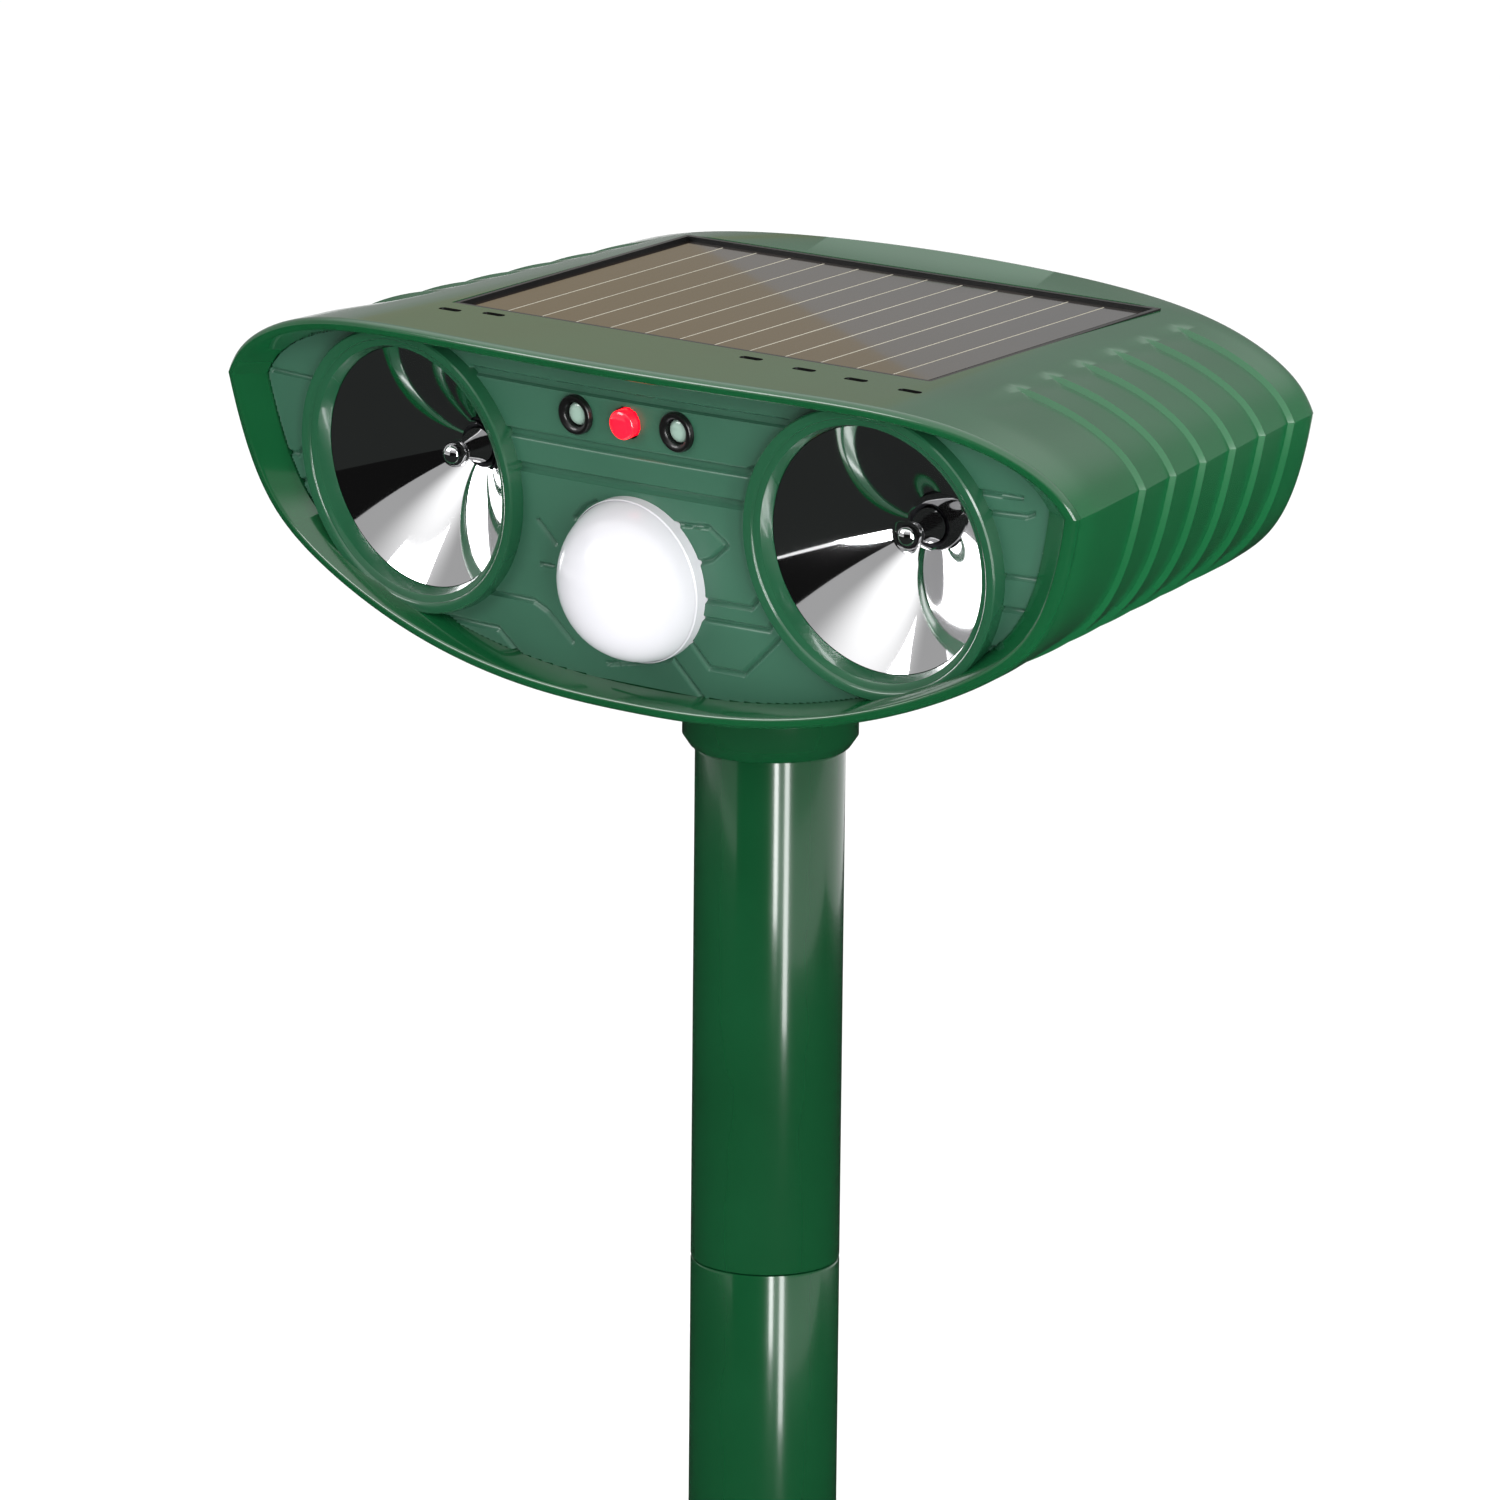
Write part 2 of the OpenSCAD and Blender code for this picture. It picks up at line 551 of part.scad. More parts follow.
// A round wire through the listed points
wire_r = 0.8;
module rod(a, b) {
    d = b - a;
    translate(a) rotate([0, acos(d.z / norm(d)), atan2(d.y, d.x)])
        cylinder(h = norm(d), r = wire_r);
}
module wire(path) {
    for (k = [0 : len(path) - 2]) rod(path[k], path[k + 1]);
    if (len(path) > 2) for (k = [1 : len(path) - 2]) translate(path[k]) sphere(wire_r + fit);
}
wire_y = panel_y + panel_d - 5;
wire_top = deck_z + deck_rise * (wire_y - wire_r) - recess - panel_t;
module solar_wires() color("crimson") in_head()
    for (x = [-6, 6]) wire([[x, wire_y, wire_top], [x, wire_y, board_top]]);
module battery_wires() color("crimson") in_head()
    for (x = [-8, 6]) wire([[x, battery_y + battery_r + 1.6, -6], [x, 67, -6], [x, 67, board_top]]);
module horn_wires() color("white") in_head() for (hand = [-1, 1])
    wire([[hand * 45.5, 34.5, -4], [hand * 43, 50, -6], [hand * 38.4, 66, -6],
        [hand * 38.4, 73, -8], [hand * 38.4, 73, board_top]]);
// A flat cable that runs from the sensor board under the battery to the main board
ribbon = [[18.4, -12.5], [22, -16], [40, -19], [62, -19], [68, -13]];
module sensor_ribbon() color("lightgray") in_head() translate([-4, 0, 0]) rotate([90, 0, 90])
    linear_extrude(8) polygon(concat(ribbon, [for (k = [4 : -1 : 0]) ribbon[k] - [0, 0.8]]));

// ---- Rear plate ------------------------------------------------------------------------------
plate_t = 1.8;     // how far the plate stands out through the rear wall
plate_out = rear_face + plate_t;
cover_size = [14, 7.4];
cover_t = 1.1;
cover_sink = 0.7;  // depth of the cover's seat in the plate
hinge_x = usb_x + 8.4;
module rear_plate() color("darkgreen") difference() {
    in_head() translate([0, 0, rear_z]) {
        translate([0, rear_face, 0]) rotate([90, 0, 0])
            centred_bar([rear_size.x + 6, rear_size.y + 6, flange], 5);
        translate([0, plate_out, 0]) rotate([90, 0, 0])
            centred_bar([rear_size.x, rear_size.y, plate_t + 0.01], 4);
    }
    for (x = [mode_x, level_x]) on_rear(x, rear_face + 3)
        cylinder(h = 6, r = nose_r + 0.1);
    in_head() translate([usb_x, plate_out + cut, usb_z]) rotate([90, 0, 0]) {
        centred_bar([9.6, 3.9, 8], 1);
        translate([0.9, 0, 0]) centred_bar([cover_size.x + 2.4, cover_size.y + 0.8, cover_sink + cut], 1.5);
    }
}
// The flap, its plug into the socket and the strap it swings on
module usb_cover() color("black") in_head() {
    translate([usb_x, plate_out - cover_sink + cover_t + 0.1, usb_z]) rotate([90, 0, 0]) {
        centred_bar([cover_size.x, cover_size.y, cover_t], 1.4);
        translate([0, 0, cover_t]) centred_bar([7.4, 2, 1.4], 0.8);
    }
    translate([hinge_x, plate_out + 0.6, usb_z - 2.5]) cylinder(h = 5, r = 0.5);
    translate([hinge_x - 2, plate_out + 0.25, usb_z - 2.5]) cube([2, 0.25, 5]);
}
knob_r = 6.4;
knob_h = 6;
knob_y = plate_out + 0.4;
module knob(x) on_rear(x, knob_y + knob_h) difference() {
    union() {
        translate([0, 0, knob_h - 1.4]) cylinder(h = 1.4, r = knob_r);
        cylinder(h = knob_h - 1.39, r = knob_r - 0.9);
        for (k = [0 : 11]) rotate([0, 0, 30 * k + 15])
            translate([knob_r - 0.9, 0, 0.4]) cylinder(h = knob_h - 1.5, r = 0.5);
    }
    translate([0, 0, 1.4]) cylinder(h = knob_h, r = shaft_r);
    translate([-0.5, 1.6, -cut]) cube([1, knob_r, 0.4 + cut]);
}
module shaft(x) on_rear(x, knob_y + knob_h - 1.4) cylinder(h = knob_y + knob_h - 1.4 - 77.8, r = shaft_r);
module mode_knob() color("black") knob(mode_x);
module level_knob() color("black") knob(level_x);
module mode_shaft() color("silver") shaft(mode_x);
module level_shaft() color("silver") shaft(level_x);

// ---- Screws ------------------------------------------------------------------------------------
module shell_screws() color("silver") in_head() for (k = [0 : 3])
    translate([screw_at[k].x, screw_at[k].y, screw_base[k]]) difference() {
        union() {
            cylinder(h = screw_head_t, r = screw_head_r);
            cylinder(h = split_z[k] + 5 - screw_base[k], r = screw_r);
        }
        for (a = [0, 90]) rotate([0, 0, a]) translate([-1.6, -0.4, -cut]) cube([3.2, 0.8, cut + 1]);
    }
module small_screw() difference() {
    union() {
        translate([0, 0, -5]) cylinder(h = 5, r = 1);
        cylinder(h = 1.1, r = 1.9);
    }
    for (a = [0, 90]) rotate([0, 0, a]) translate([-1.2, -0.3, 0.5]) cube([2.4, 0.6, cut]);
}
module board_screws() color("silver") {
    in_head() for (p = board_posts) translate([p.x, p.y, board_top]) small_screw();
    on_face() for (p = face_posts) translate([p.x, board_depth + 1.6, p.y])
        rotate([-90, 0, 0]) small_screw();
}

// ---- Pole and spike ----------------------------------------------------------------------------
module socket_ring() color("black") translate([0, 0, horn_z + ring_z]) difference() {
    cylinder(h = ring_h, r = ring_groove_r);
    translate([0, 0, -cut]) cylinder(h = ring_h + 2 * cut, r = socket_r + fit);
}
// One tube: a socket below and a spigot above
module tube(z) translate([0, 0, z]) difference() {
    union() {
        cylinder(h = pole_show, r = pole_d / 2);
        cylinder(h = pole_show + spigot_l - 1, r = socket_r);
        translate([0, 0, pole_show + spigot_l - 1]) cylinder(h = 1, r1 = socket_r, r2 = socket_r - 0.8);
    }
    translate([0, 0, -cut]) cylinder(h = spigot_l + 1 + cut, r = socket_r + fit);
    cylinder(h = pole_show + spigot_l + cut, r = socket_r - 1.8);
}
module upper_pole() color("darkgreen") tube(seam_1);
module lower_pole() color("darkgreen") tube(flange_t);
fin_t = 2.6;
fin_w = 26;
module fin() rotate([90, 0, 0]) translate([0, 0, -fin_t / 2]) linear_extrude(fin_t)
    polygon([[-fin_w / 2, cut], [fin_w / 2, cut], [fin_w / 2, -0.3 * spike_l],
        [1, -spike_l], [-1, -spike_l], [-fin_w / 2, -0.3 * spike_l]]);
module ground_spike() color("darkgreen") difference() {
    union() {
        cylinder(h = flange_t, r = flange_d / 2);
        cylinder(h = flange_t + spigot_l - 1, r = socket_r);
        translate([0, 0, flange_t + spigot_l - 1]) cylinder(h = 1, r1 = socket_r, r2 = socket_r - 0.8);
        fin();
        rotate([0, 0, 90]) fin();
    }
    translate([0, 0, flange_t + 1]) cylinder(h = spigot_l, r = socket_r - 1.8);
}

top_shell();
bottom_shell();
front_bezel();
face_panel();
horn_left();
horn_right();
phase_plug_left();
phase_plug_right();
driver_left();
driver_right();
pir_lens();
pir_sensor();
led_left();
led_centre();
led_right();
led_bezel_left();
led_bezel_right();
sensor_board();
sensor_ribbon();
solar_panel();
solar_cells();
solar_frame();
solar_wires();
main_board();
board_chips();
board_capacitors();
usb_socket();
mode_switch();
level_pot();
battery();
battery_holder();
battery_wires();
horn_wires();
rear_plate();
usb_cover();
mode_knob();
mode_shaft();
level_knob();
level_shaft();
shell_screws();
board_screws();
socket_ring();
upper_pole();
lower_pole();
ground_spike();
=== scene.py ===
"""Looks of a solar ultrasonic pest repeller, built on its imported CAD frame.

Lengths are in mm until meshes are made.
"""
import json
import math

import bmesh
import bpy
import numpy as np
from mathutils import Matrix, Vector


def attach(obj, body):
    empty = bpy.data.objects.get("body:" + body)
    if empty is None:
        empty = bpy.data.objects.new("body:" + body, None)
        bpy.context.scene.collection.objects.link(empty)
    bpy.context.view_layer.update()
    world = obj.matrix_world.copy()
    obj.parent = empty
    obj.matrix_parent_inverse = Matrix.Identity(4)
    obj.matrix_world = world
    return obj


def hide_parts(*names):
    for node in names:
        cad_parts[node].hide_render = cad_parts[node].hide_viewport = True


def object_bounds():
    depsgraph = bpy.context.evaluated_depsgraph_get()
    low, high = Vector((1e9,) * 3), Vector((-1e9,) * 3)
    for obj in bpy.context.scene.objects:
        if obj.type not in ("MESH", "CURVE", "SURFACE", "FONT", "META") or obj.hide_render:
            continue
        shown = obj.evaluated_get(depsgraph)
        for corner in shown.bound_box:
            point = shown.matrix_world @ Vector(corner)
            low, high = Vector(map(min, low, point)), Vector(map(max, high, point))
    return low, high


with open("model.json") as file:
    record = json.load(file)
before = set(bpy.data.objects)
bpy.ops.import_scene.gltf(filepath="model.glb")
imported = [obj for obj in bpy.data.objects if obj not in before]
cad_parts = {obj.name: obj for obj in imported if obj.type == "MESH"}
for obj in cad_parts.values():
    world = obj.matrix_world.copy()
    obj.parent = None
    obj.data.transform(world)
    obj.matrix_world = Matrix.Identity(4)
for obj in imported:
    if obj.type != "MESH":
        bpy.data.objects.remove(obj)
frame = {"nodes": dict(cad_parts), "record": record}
cad_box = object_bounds()
nodes = frame["nodes"]
MM = 0.001

# ---- Sizes shared with the CAD model ---------------------------------------------------------
HALF_W = 89.25
POLE_BACK = 41.7
HORN_Z = 223.2
HEAD_D = 88.0
BACK_BOW = 4.0
FRONT_BOW = 7.6
FACE_BOW = 4.9
FACE_TILT = math.radians(7.0)
CREASE_Z = 11.2
CREASE_RISE = 0.062
SIDE_TAPER = 0.118
ROOF_H = 15.3
ROOF_BACK_Z = 32.8
KEEL_H = 43.6
KEEL_BACK_Z = -24.0
WALL = 2.2
WALL_FRONT = 1.1
BEZEL_T = 1.3
RIB_COUNT = 6
RIB_FIRST = 26.9
RIB_PITCH = 9.62
RIB_STEP = 0.8
RIB_EDGE = 0.8          # the CAD steps are steeper; this slope catches the side light
DECK_Z = 26.0
DECK_RISE = 0.055
DECK_END = 84.0
PANEL_W = 98.6
PANEL_D = 59.0
PANEL_Y = 19.9
RECESS = 0.7
PANEL_T = 2.0
FRAME_T = 1.0
FACE_DEPTH = 6.2
HORN_X = 48.5
HORN_R = 20.5
HORN_SPLAY = math.radians(3.4)
HORN_DEPTH = 14.0
LIP = 1.2
RING_R = 24.6
RING_PROUD = 2.2
RING_IN = 21.3
RING_LOW = 1.3
THROAT_R = 3.7
DOME_R = 13.5
DOME_H = 10.8
DOME_Z = -11.2
DOME_BASE = 4.0
LAMP_Z = 15.1
LAMP_PITCH = 10.6
SEAM_1 = 91.0
SEAM_2 = 179.0
BOSS_R = 14.65
POLE_R = 12.5
FLANGE_T = 3.0
POLE_SHOW = 88.0
SPIGOT_L = 14.0
SCREW_HEAD_T = 1.8
# The clamshell's screws: x, y, and the underside of the head
SCREW_AT = ((-66, 32, -14.0), (66, 32, -14.0), (-58, 70, -11.0), (58, 70, -11.0))


# ---- Frames of reference -----------------------------------------------------------------------
def in_head(p):
    return p + np.array([0.0, -POLE_BACK, HORN_Z])


def on_face(p):
    c, s = math.cos(FACE_TILT), math.sin(FACE_TILT)
    x, y, z = p[:, 0], p[:, 1], p[:, 2]
    return in_head(np.stack([x, y * c - z * s, y * s + z * c], 1))


def on_horn(hand):
    """Stands on a horn's axis with +z out of the mouth; hand is -1 left and 1 right."""
    def place(p):
        a = hand * HORN_SPLAY
        x, y, z = p[:, 0], -p[:, 2], p[:, 1]
        depth = FACE_DEPTH + FACE_BOW * (HORN_X / HALF_W) ** 2
        turned = np.stack([x * math.cos(a) - y * math.sin(a) + hand * HORN_X,
                           x * math.sin(a) + y * math.cos(a) + depth, z], 1)
        return on_face(turned)
    return place


def on_face_at(x, depth, z):
    """Stands on the face with +z out of it."""
    return lambda p: on_face(np.stack([p[:, 0] + x, depth - p[:, 2], p[:, 1] + z], 1))


def on_deck(p):
    a = math.atan(DECK_RISE)
    c, s = math.cos(a), math.sin(a)
    x, y, z = p[:, 0], p[:, 1], p[:, 2]
    return in_head(np.stack([x, y * c - z * s, DECK_Z + y * s + z * c], 1))


def upright(p):
    return p


# ---- Materials -----------------------------------------------------------------------------------
def plastic(name, colour, shade, roughness, coat=0.0, grain=900.0, bump=0.015, metallic=0.0,
            coat_roughness=0.08):
    """A moulded surface: slow colour drift between two shades, and a fine grain."""
    material = bpy.data.materials.new(name)
    material.use_nodes = True
    tree = material.node_tree
    shader = tree.nodes["Principled BSDF"]
    shader.inputs["Metallic"].default_value = metallic
    shader.inputs["Coat Weight"].default_value = coat
    shader.inputs["Coat Roughness"].default_value = coat_roughness
    place = tree.nodes.new("ShaderNodeTexCoord")
    drift = tree.nodes.new("ShaderNodeTexNoise")
    drift.inputs["Scale"].default_value = 35.0
    ramp = tree.nodes.new("ShaderNodeValToRGB")
    ramp.color_ramp.elements[0].position = 0.35
    ramp.color_ramp.elements[0].color = (*shade, 1)
    ramp.color_ramp.elements[1].position = 0.65
    ramp.color_ramp.elements[1].color = (*colour, 1)
    fine = tree.nodes.new("ShaderNodeTexNoise")
    fine.inputs["Scale"].default_value = grain
    relief = tree.nodes.new("ShaderNodeBump")
    relief.inputs["Strength"].default_value = bump
    relief.inputs["Distance"].default_value = 0.0002
    spread = tree.nodes.new("ShaderNodeMapRange")
    spread.inputs["To Min"].default_value = roughness * 0.85
    spread.inputs["To Max"].default_value = min(1.0, roughness * 1.15)
    link = tree.links.new
    link(place.outputs["Object"], drift.inputs["Vector"])
    link(place.outputs["Object"], fine.inputs["Vector"])
    link(drift.outputs["Fac"], ramp.inputs["Fac"])
    link(ramp.outputs["Color"], shader.inputs["Base Color"])
    link(fine.outputs["Fac"], relief.inputs["Height"])
    link(relief.outputs["Normal"], shader.inputs["Normal"])
    link(drift.outputs["Fac"], spread.inputs["Value"])
    link(spread.outputs["Result"], shader.inputs["Roughness"])
    return material


def glowing(material, colour, strength):
    shader = material.node_tree.nodes["Principled BSDF"]
    shader.inputs["Emission Color"].default_value = (*colour, 1)
    shader.inputs["Emission Strength"].default_value = strength
    return material


LOOK = {
    "shell": plastic("shell_green", (0.003, 0.058, 0.018), (0.0025, 0.05, 0.015), 0.22, coat=0.4),
    "bezel": plastic("bezel_green", (0.004, 0.07, 0.022), (0.0035, 0.06, 0.018), 0.17, coat=0.6),
    "face": plastic("face_green", (0.032, 0.115, 0.07), (0.027, 0.1, 0.06), 0.36, coat=0.1),
    "ring": plastic("ring_green", (0.012, 0.08, 0.036), (0.01, 0.07, 0.03), 0.24, coat=0.4),
    "horn": plastic("horn_chrome", (0.86, 0.86, 0.87), (0.82, 0.82, 0.83), 0.04, bump=0.0, metallic=1.0),
    "plug": plastic("plug_chrome", (0.86, 0.86, 0.87), (0.82, 0.82, 0.83), 0.06, bump=0.0, metallic=1.0),
    "driver": plastic("driver_steel", (0.12, 0.12, 0.13), (0.08, 0.08, 0.09), 0.45, metallic=0.6),
    "lens": plastic("lens_white", (0.62, 0.62, 0.65), (0.6, 0.6, 0.635), 0.26, coat=0.4, bump=0.01),
    "sensor_can": plastic("can_steel", (0.6, 0.6, 0.6), (0.5, 0.5, 0.5), 0.3, metallic=1.0),
    "lamp_clear": plastic("lamp_clear", (0.3, 0.42, 0.36), (0.25, 0.36, 0.3), 0.12, coat=0.8, bump=0.0),
    "lamp_red": glowing(plastic("lamp_red", (0.85, 0.01, 0.03), (0.7, 0.01, 0.02), 0.15, coat=0.8),
                        (1.0, 0.0, 0.015), 1.6),
    # Black of the side lamps' holder rings: painted shade of the holes they sit in; the deck's notches take
    # it too
    "lamp_ring": plastic("lamp_ring_painted_shade", (0.006, 0.006, 0.006), (0.004, 0.004, 0.004), 0.3, coat=0.3),
    "board": plastic("board_green", (0.02, 0.09, 0.03), (0.015, 0.07, 0.025), 0.5),
    "ribbon": plastic("ribbon_grey", (0.55, 0.55, 0.55), (0.48, 0.48, 0.48), 0.5),
    "panel": plastic("panel_resin", (0.022, 0.013, 0.009), (0.012, 0.008, 0.006), 0.1, coat=0.8, bump=0.0,
                     coat_roughness=0.02),
    "cell": plastic("cell_dark", (0.016, 0.01, 0.009), (0.009, 0.006, 0.006), 0.14, coat=0.9, bump=0.0,
                    coat_roughness=0.02),
    "cell_line": plastic("cell_line_pale", (0.5, 0.47, 0.38), (0.42, 0.39, 0.31), 0.35, bump=0.0),
    "panel_frame": plastic("panel_frame_black", (0.01, 0.01, 0.01), (0.006, 0.006, 0.006), 0.35),
    "chip": plastic("chip_black", (0.02, 0.02, 0.02), (0.015, 0.015, 0.015), 0.5),
    "capacitor": plastic("capacitor_blue", (0.05, 0.09, 0.2), (0.04, 0.07, 0.16), 0.35),
    "socket_metal": plastic("socket_steel", (0.6, 0.6, 0.6), (0.5, 0.5, 0.5), 0.25, metallic=1.0),
    "control": plastic("control_grey", (0.2, 0.2, 0.2), (0.15, 0.15, 0.15), 0.5),
    "cell_wrap": plastic("battery_wrap", (0.05, 0.14, 0.35), (0.04, 0.12, 0.3), 0.3),
    "holder": plastic("holder_black", (0.015, 0.015, 0.015), (0.01, 0.01, 0.01), 0.5),
    "wire_red": plastic("wire_red", (0.45, 0.01, 0.01), (0.35, 0.01, 0.01), 0.45),
    "wire_white": plastic("wire_white", (0.7, 0.7, 0.7), (0.6, 0.6, 0.6), 0.45),
    "dial": plastic("dial_pale", (0.6, 0.62, 0.6), (0.52, 0.54, 0.52), 0.5),
    "rubber": plastic("rubber_black", (0.018, 0.018, 0.018), (0.012, 0.012, 0.012), 0.7, bump=0.1),
    "knob": plastic("knob_black", (0.014, 0.014, 0.014), (0.01, 0.01, 0.01), 0.4),
    "steel": plastic("screw_steel", (0.55, 0.55, 0.55), (0.45, 0.45, 0.45), 0.3, metallic=1.0),
    "pole": plastic("pole_green", (0.003, 0.055, 0.017), (0.0025, 0.047, 0.014), 0.18, coat=0.5),
    "spike": plastic("spike_green", (0.004, 0.055, 0.017), (0.0035, 0.047, 0.014), 0.38, coat=0.15),
}


def dress_cad_nodes():
    """Gives every carried-over CAD node the material of its slot."""
    for part in frame["record"]["subparts"]:
        mesh = nodes[part["node"]].data
        mesh.materials.clear()
        mesh.materials.append(LOOK[part["material_slot"]])


# ---- Making pieces ---------------------------------------------------------------------------------
def piece(name, points, faces, look, place=upright, sharp=35.0):
    """A mesh piece from points in mm, with its normals outward and soft shading under the sharp angle."""
    mesh = bpy.data.meshes.new(name)
    mesh.from_pydata((place(np.asarray(points, float)) * MM).tolist(), [], faces)
    edit = bmesh.new()
    edit.from_mesh(mesh)
    bmesh.ops.remove_doubles(edit, verts=edit.verts, dist=1e-6)
    bmesh.ops.recalc_face_normals(edit, faces=edit.faces)
    edit.to_mesh(mesh)
    edit.free()
    mesh.materials.append(LOOK[look])
    soften(mesh, sharp)
    result = bpy.data.objects.new(name, mesh)
    bpy.context.scene.collection.objects.link(result)
    return result


def soften(mesh, sharp):
    mesh.shade_smooth()
    mesh.set_sharp_from_angle(angle=math.radians(sharp))


def hand_over(obj, body, look, *replaced):
    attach(obj, body)
    if replaced:
        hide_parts(*replaced)
    return obj


def lathe(name, section, look, place=upright, count=128, closed=True, sharp=35.0):
    """Turns a section of [radius, height] pairs round the z axis."""
    angles = np.linspace(0, 2 * math.pi, count, endpoint=False)
    points = [(r * math.cos(a), r * math.sin(a), z) for a in angles for r, z in section]
    m = len(section)
    last = m if closed else m - 1
    faces = []
    for j in range(count):
        a, b = j * m, (j + 1) % count * m
        for k in range(last):
            n = (k + 1) % m
            faces.append((a + k, b + k, b + n, a + n))
    return piece(name, points, faces, look, place, sharp)


def carve(obj, *tools, sharp=35.0):
    """Cuts the tools out of obj, and removes them."""
    for tool in tools:
        change = obj.modifiers.new("cut", "BOOLEAN")
        change.operation = "DIFFERENCE"
        change.solver = "EXACT"
        change.object = tool
        change.material_mode = "TRANSFER"
    bpy.context.view_layer.update()
    shape = obj.evaluated_get(bpy.context.evaluated_depsgraph_get())
    mesh = bpy.data.meshes.new_from_object(shape)
    obj.modifiers.clear()
    obj.data = mesh
    soften(mesh, sharp)
    for tool in tools:
        bpy.data.objects.remove(tool)


def rounded_outline(w, d, r, steps=8):
    points = []
    for cx, cy, start in ((1, 1, 0), (-1, 1, 90), (-1, -1, 180), (1, -1, 270)):
        for k in range(steps + 1):
            a = math.radians(start + 90 * k / steps)
            points.append((cx * (w / 2 - r) + r * math.cos(a), cy * (d / 2 - r) + r * math.sin(a)))
    return points


def prism(name, outline, low, high, look, place=upright, bevel=0.0, sharp=35.0):
    """A straight prism over an outline, with small chamfers on both ends."""
    centre = np.mean(np.array(outline), 0)
    levels = [(low, 0), (high, 0)]
    if bevel:
        levels = [(low, bevel), (low + bevel, 0), (high - bevel, 0), (high, bevel)]
    points = []
    for z, inset in levels:
        for x, y in outline:
            away = np.array([x, y]) - centre
            reach = np.linalg.norm(away)
            x2, y2 = centre + away * (1 - inset / max(reach, 1e-6))
            points.append((x2, y2, z))
    n = len(outline)
    faces = [tuple(range(n))[::-1], tuple(range((len(levels) - 1) * n, len(levels) * n))]
    for k in range(len(levels) - 1):
        for j in range(n):
            i = (j + 1) % n
            faces.append((k * n + j, k * n + i, (k + 1) * n + i, (k + 1) * n + j))
    return piece(name, points, faces, look, place, sharp)


# ---- The hood ----------------------------------------------------------------------------------------
RIBS_FROM = 12.0             # distance back where the first rib starts to sink
ROOF_FADE = (61.0, 7.0)      # the ribs begin this far from the middle, and are full this much later
KEEL_FADE = (30.0, 12.0)
HOOD_SHARP = 28.0
REAR_ROUND = 2.5             # radius of the rounded rear edges
INNER_STEP = 0.5             # the inner skin's last rows come back by this much
DECK_BLEND = 0.3             # softness of the edge round the deck
DECK_SKIN_AT = (9.2, 12.7)   # distances back from the roof's front edge, behind the bezel
DECK_SKIN = (1.25, 4.5)      # thickness of the deck there: thin, then a tray for the panel


def roof_drop(a, arch):
    return arch * a**2 + (0.85 - arch) * a**6 + 0.15 * a**40


def keel_rise(a):
    return 0.59 * a**2.5 + 0.41 * a**21


def front_point(s, side, inset, depth):
    a = np.abs(s)
    if side > 0:
        z = CREASE_Z + (ROOF_H - inset) * (1 - roof_drop(a, 0))
    else:
        z = CREASE_Z - (KEEL_H - inset) * (1 - keel_rise(a))
    x = s * (HALF_W - inset)
    y = depth + FRONT_BOW * (x / HALF_W) ** 2
    c, t = math.cos(FACE_TILT), math.sin(FACE_TILT)
    return np.stack([x, y * c - z * t, z * c + y * t], 1)


def back_point(s, side, inset, trim):
    a = np.abs(s)
    y = HEAD_D - trim - BACK_BOW * a**2
    crease = CREASE_Z + CREASE_RISE * y
    if side > 0:
        z = crease + (ROOF_BACK_Z - inset - crease) * (1 - roof_drop(a, 0.3))
    else:
        z = crease - (crease - KEEL_BACK_Z - inset) * (1 - keel_rise(a))
    return np.stack([s * (HALF_W - SIDE_TAPER * y - inset), y, z], 1)


def rib_sink(y):
    """Depth of the ribs' sawtooth at a distance back."""
    last = RIB_FIRST + (RIB_COUNT - 1) * RIB_PITCH
    if y <= RIB_FIRST:
        return RIB_STEP * max(0.0, (y - RIBS_FROM) / (RIB_FIRST - RIBS_FROM))
    if y >= last + RIB_EDGE:
        return 0.0
    part = (y - RIB_FIRST) % RIB_PITCH
    if part < RIB_EDGE:
        return RIB_STEP * (1 - part / RIB_EDGE)
    return RIB_STEP * (part - RIB_EDGE) / (RIB_PITCH - RIB_EDGE)


def rib_fade(x, side):
    start, length = ROOF_FADE if side > 0 else KEEL_FADE
    t = np.clip((np.abs(x) - start) / length, 0, 1)
    return t * t * (3 - 2 * t)


def hood_rows():
    """Rows of the skin from front to back: shares of the way to the ribs, distances, shares of the edge."""
    rows = [("front", k / 4) for k in range(4)]
    marks = [RIBS_FROM + 3.0 * k for k in range(5)]
    for k in range(RIB_COUNT):
        base = RIB_FIRST + k * RIB_PITCH
        marks += [base + RIB_EDGE * j / 3 for j in range(4)]
        if k < RIB_COUNT - 1:
            marks += [base + RIB_EDGE + j * (RIB_PITCH - RIB_EDGE) / 4 for j in range(1, 4)]
    marks += [78.5, 80.0]
    return rows + [("mark", y) for y in marks] + [("back", k / 6) for k in range(7)]


def flatten_deck(row, front, wall):
    """Brings a row of the roof down to the deck; the inner skin follows at the deck's thickness."""
    plane = DECK_Z + DECK_RISE * row[:, 1]
    if wall:
        plane = plane - np.interp(row[:, 1] - front[:, 1], DECK_SKIN_AT, DECK_SKIN)
    z = row[:, 2]
    h = np.clip(0.5 + 0.5 * (plane - z) / DECK_BLEND, 0, 1)
    smooth = plane * (1 - h) + z * h - DECK_BLEND * h * (1 - h)
    row[:, 2] = np.where(row[:, 1] < DECK_END, smooth, z)


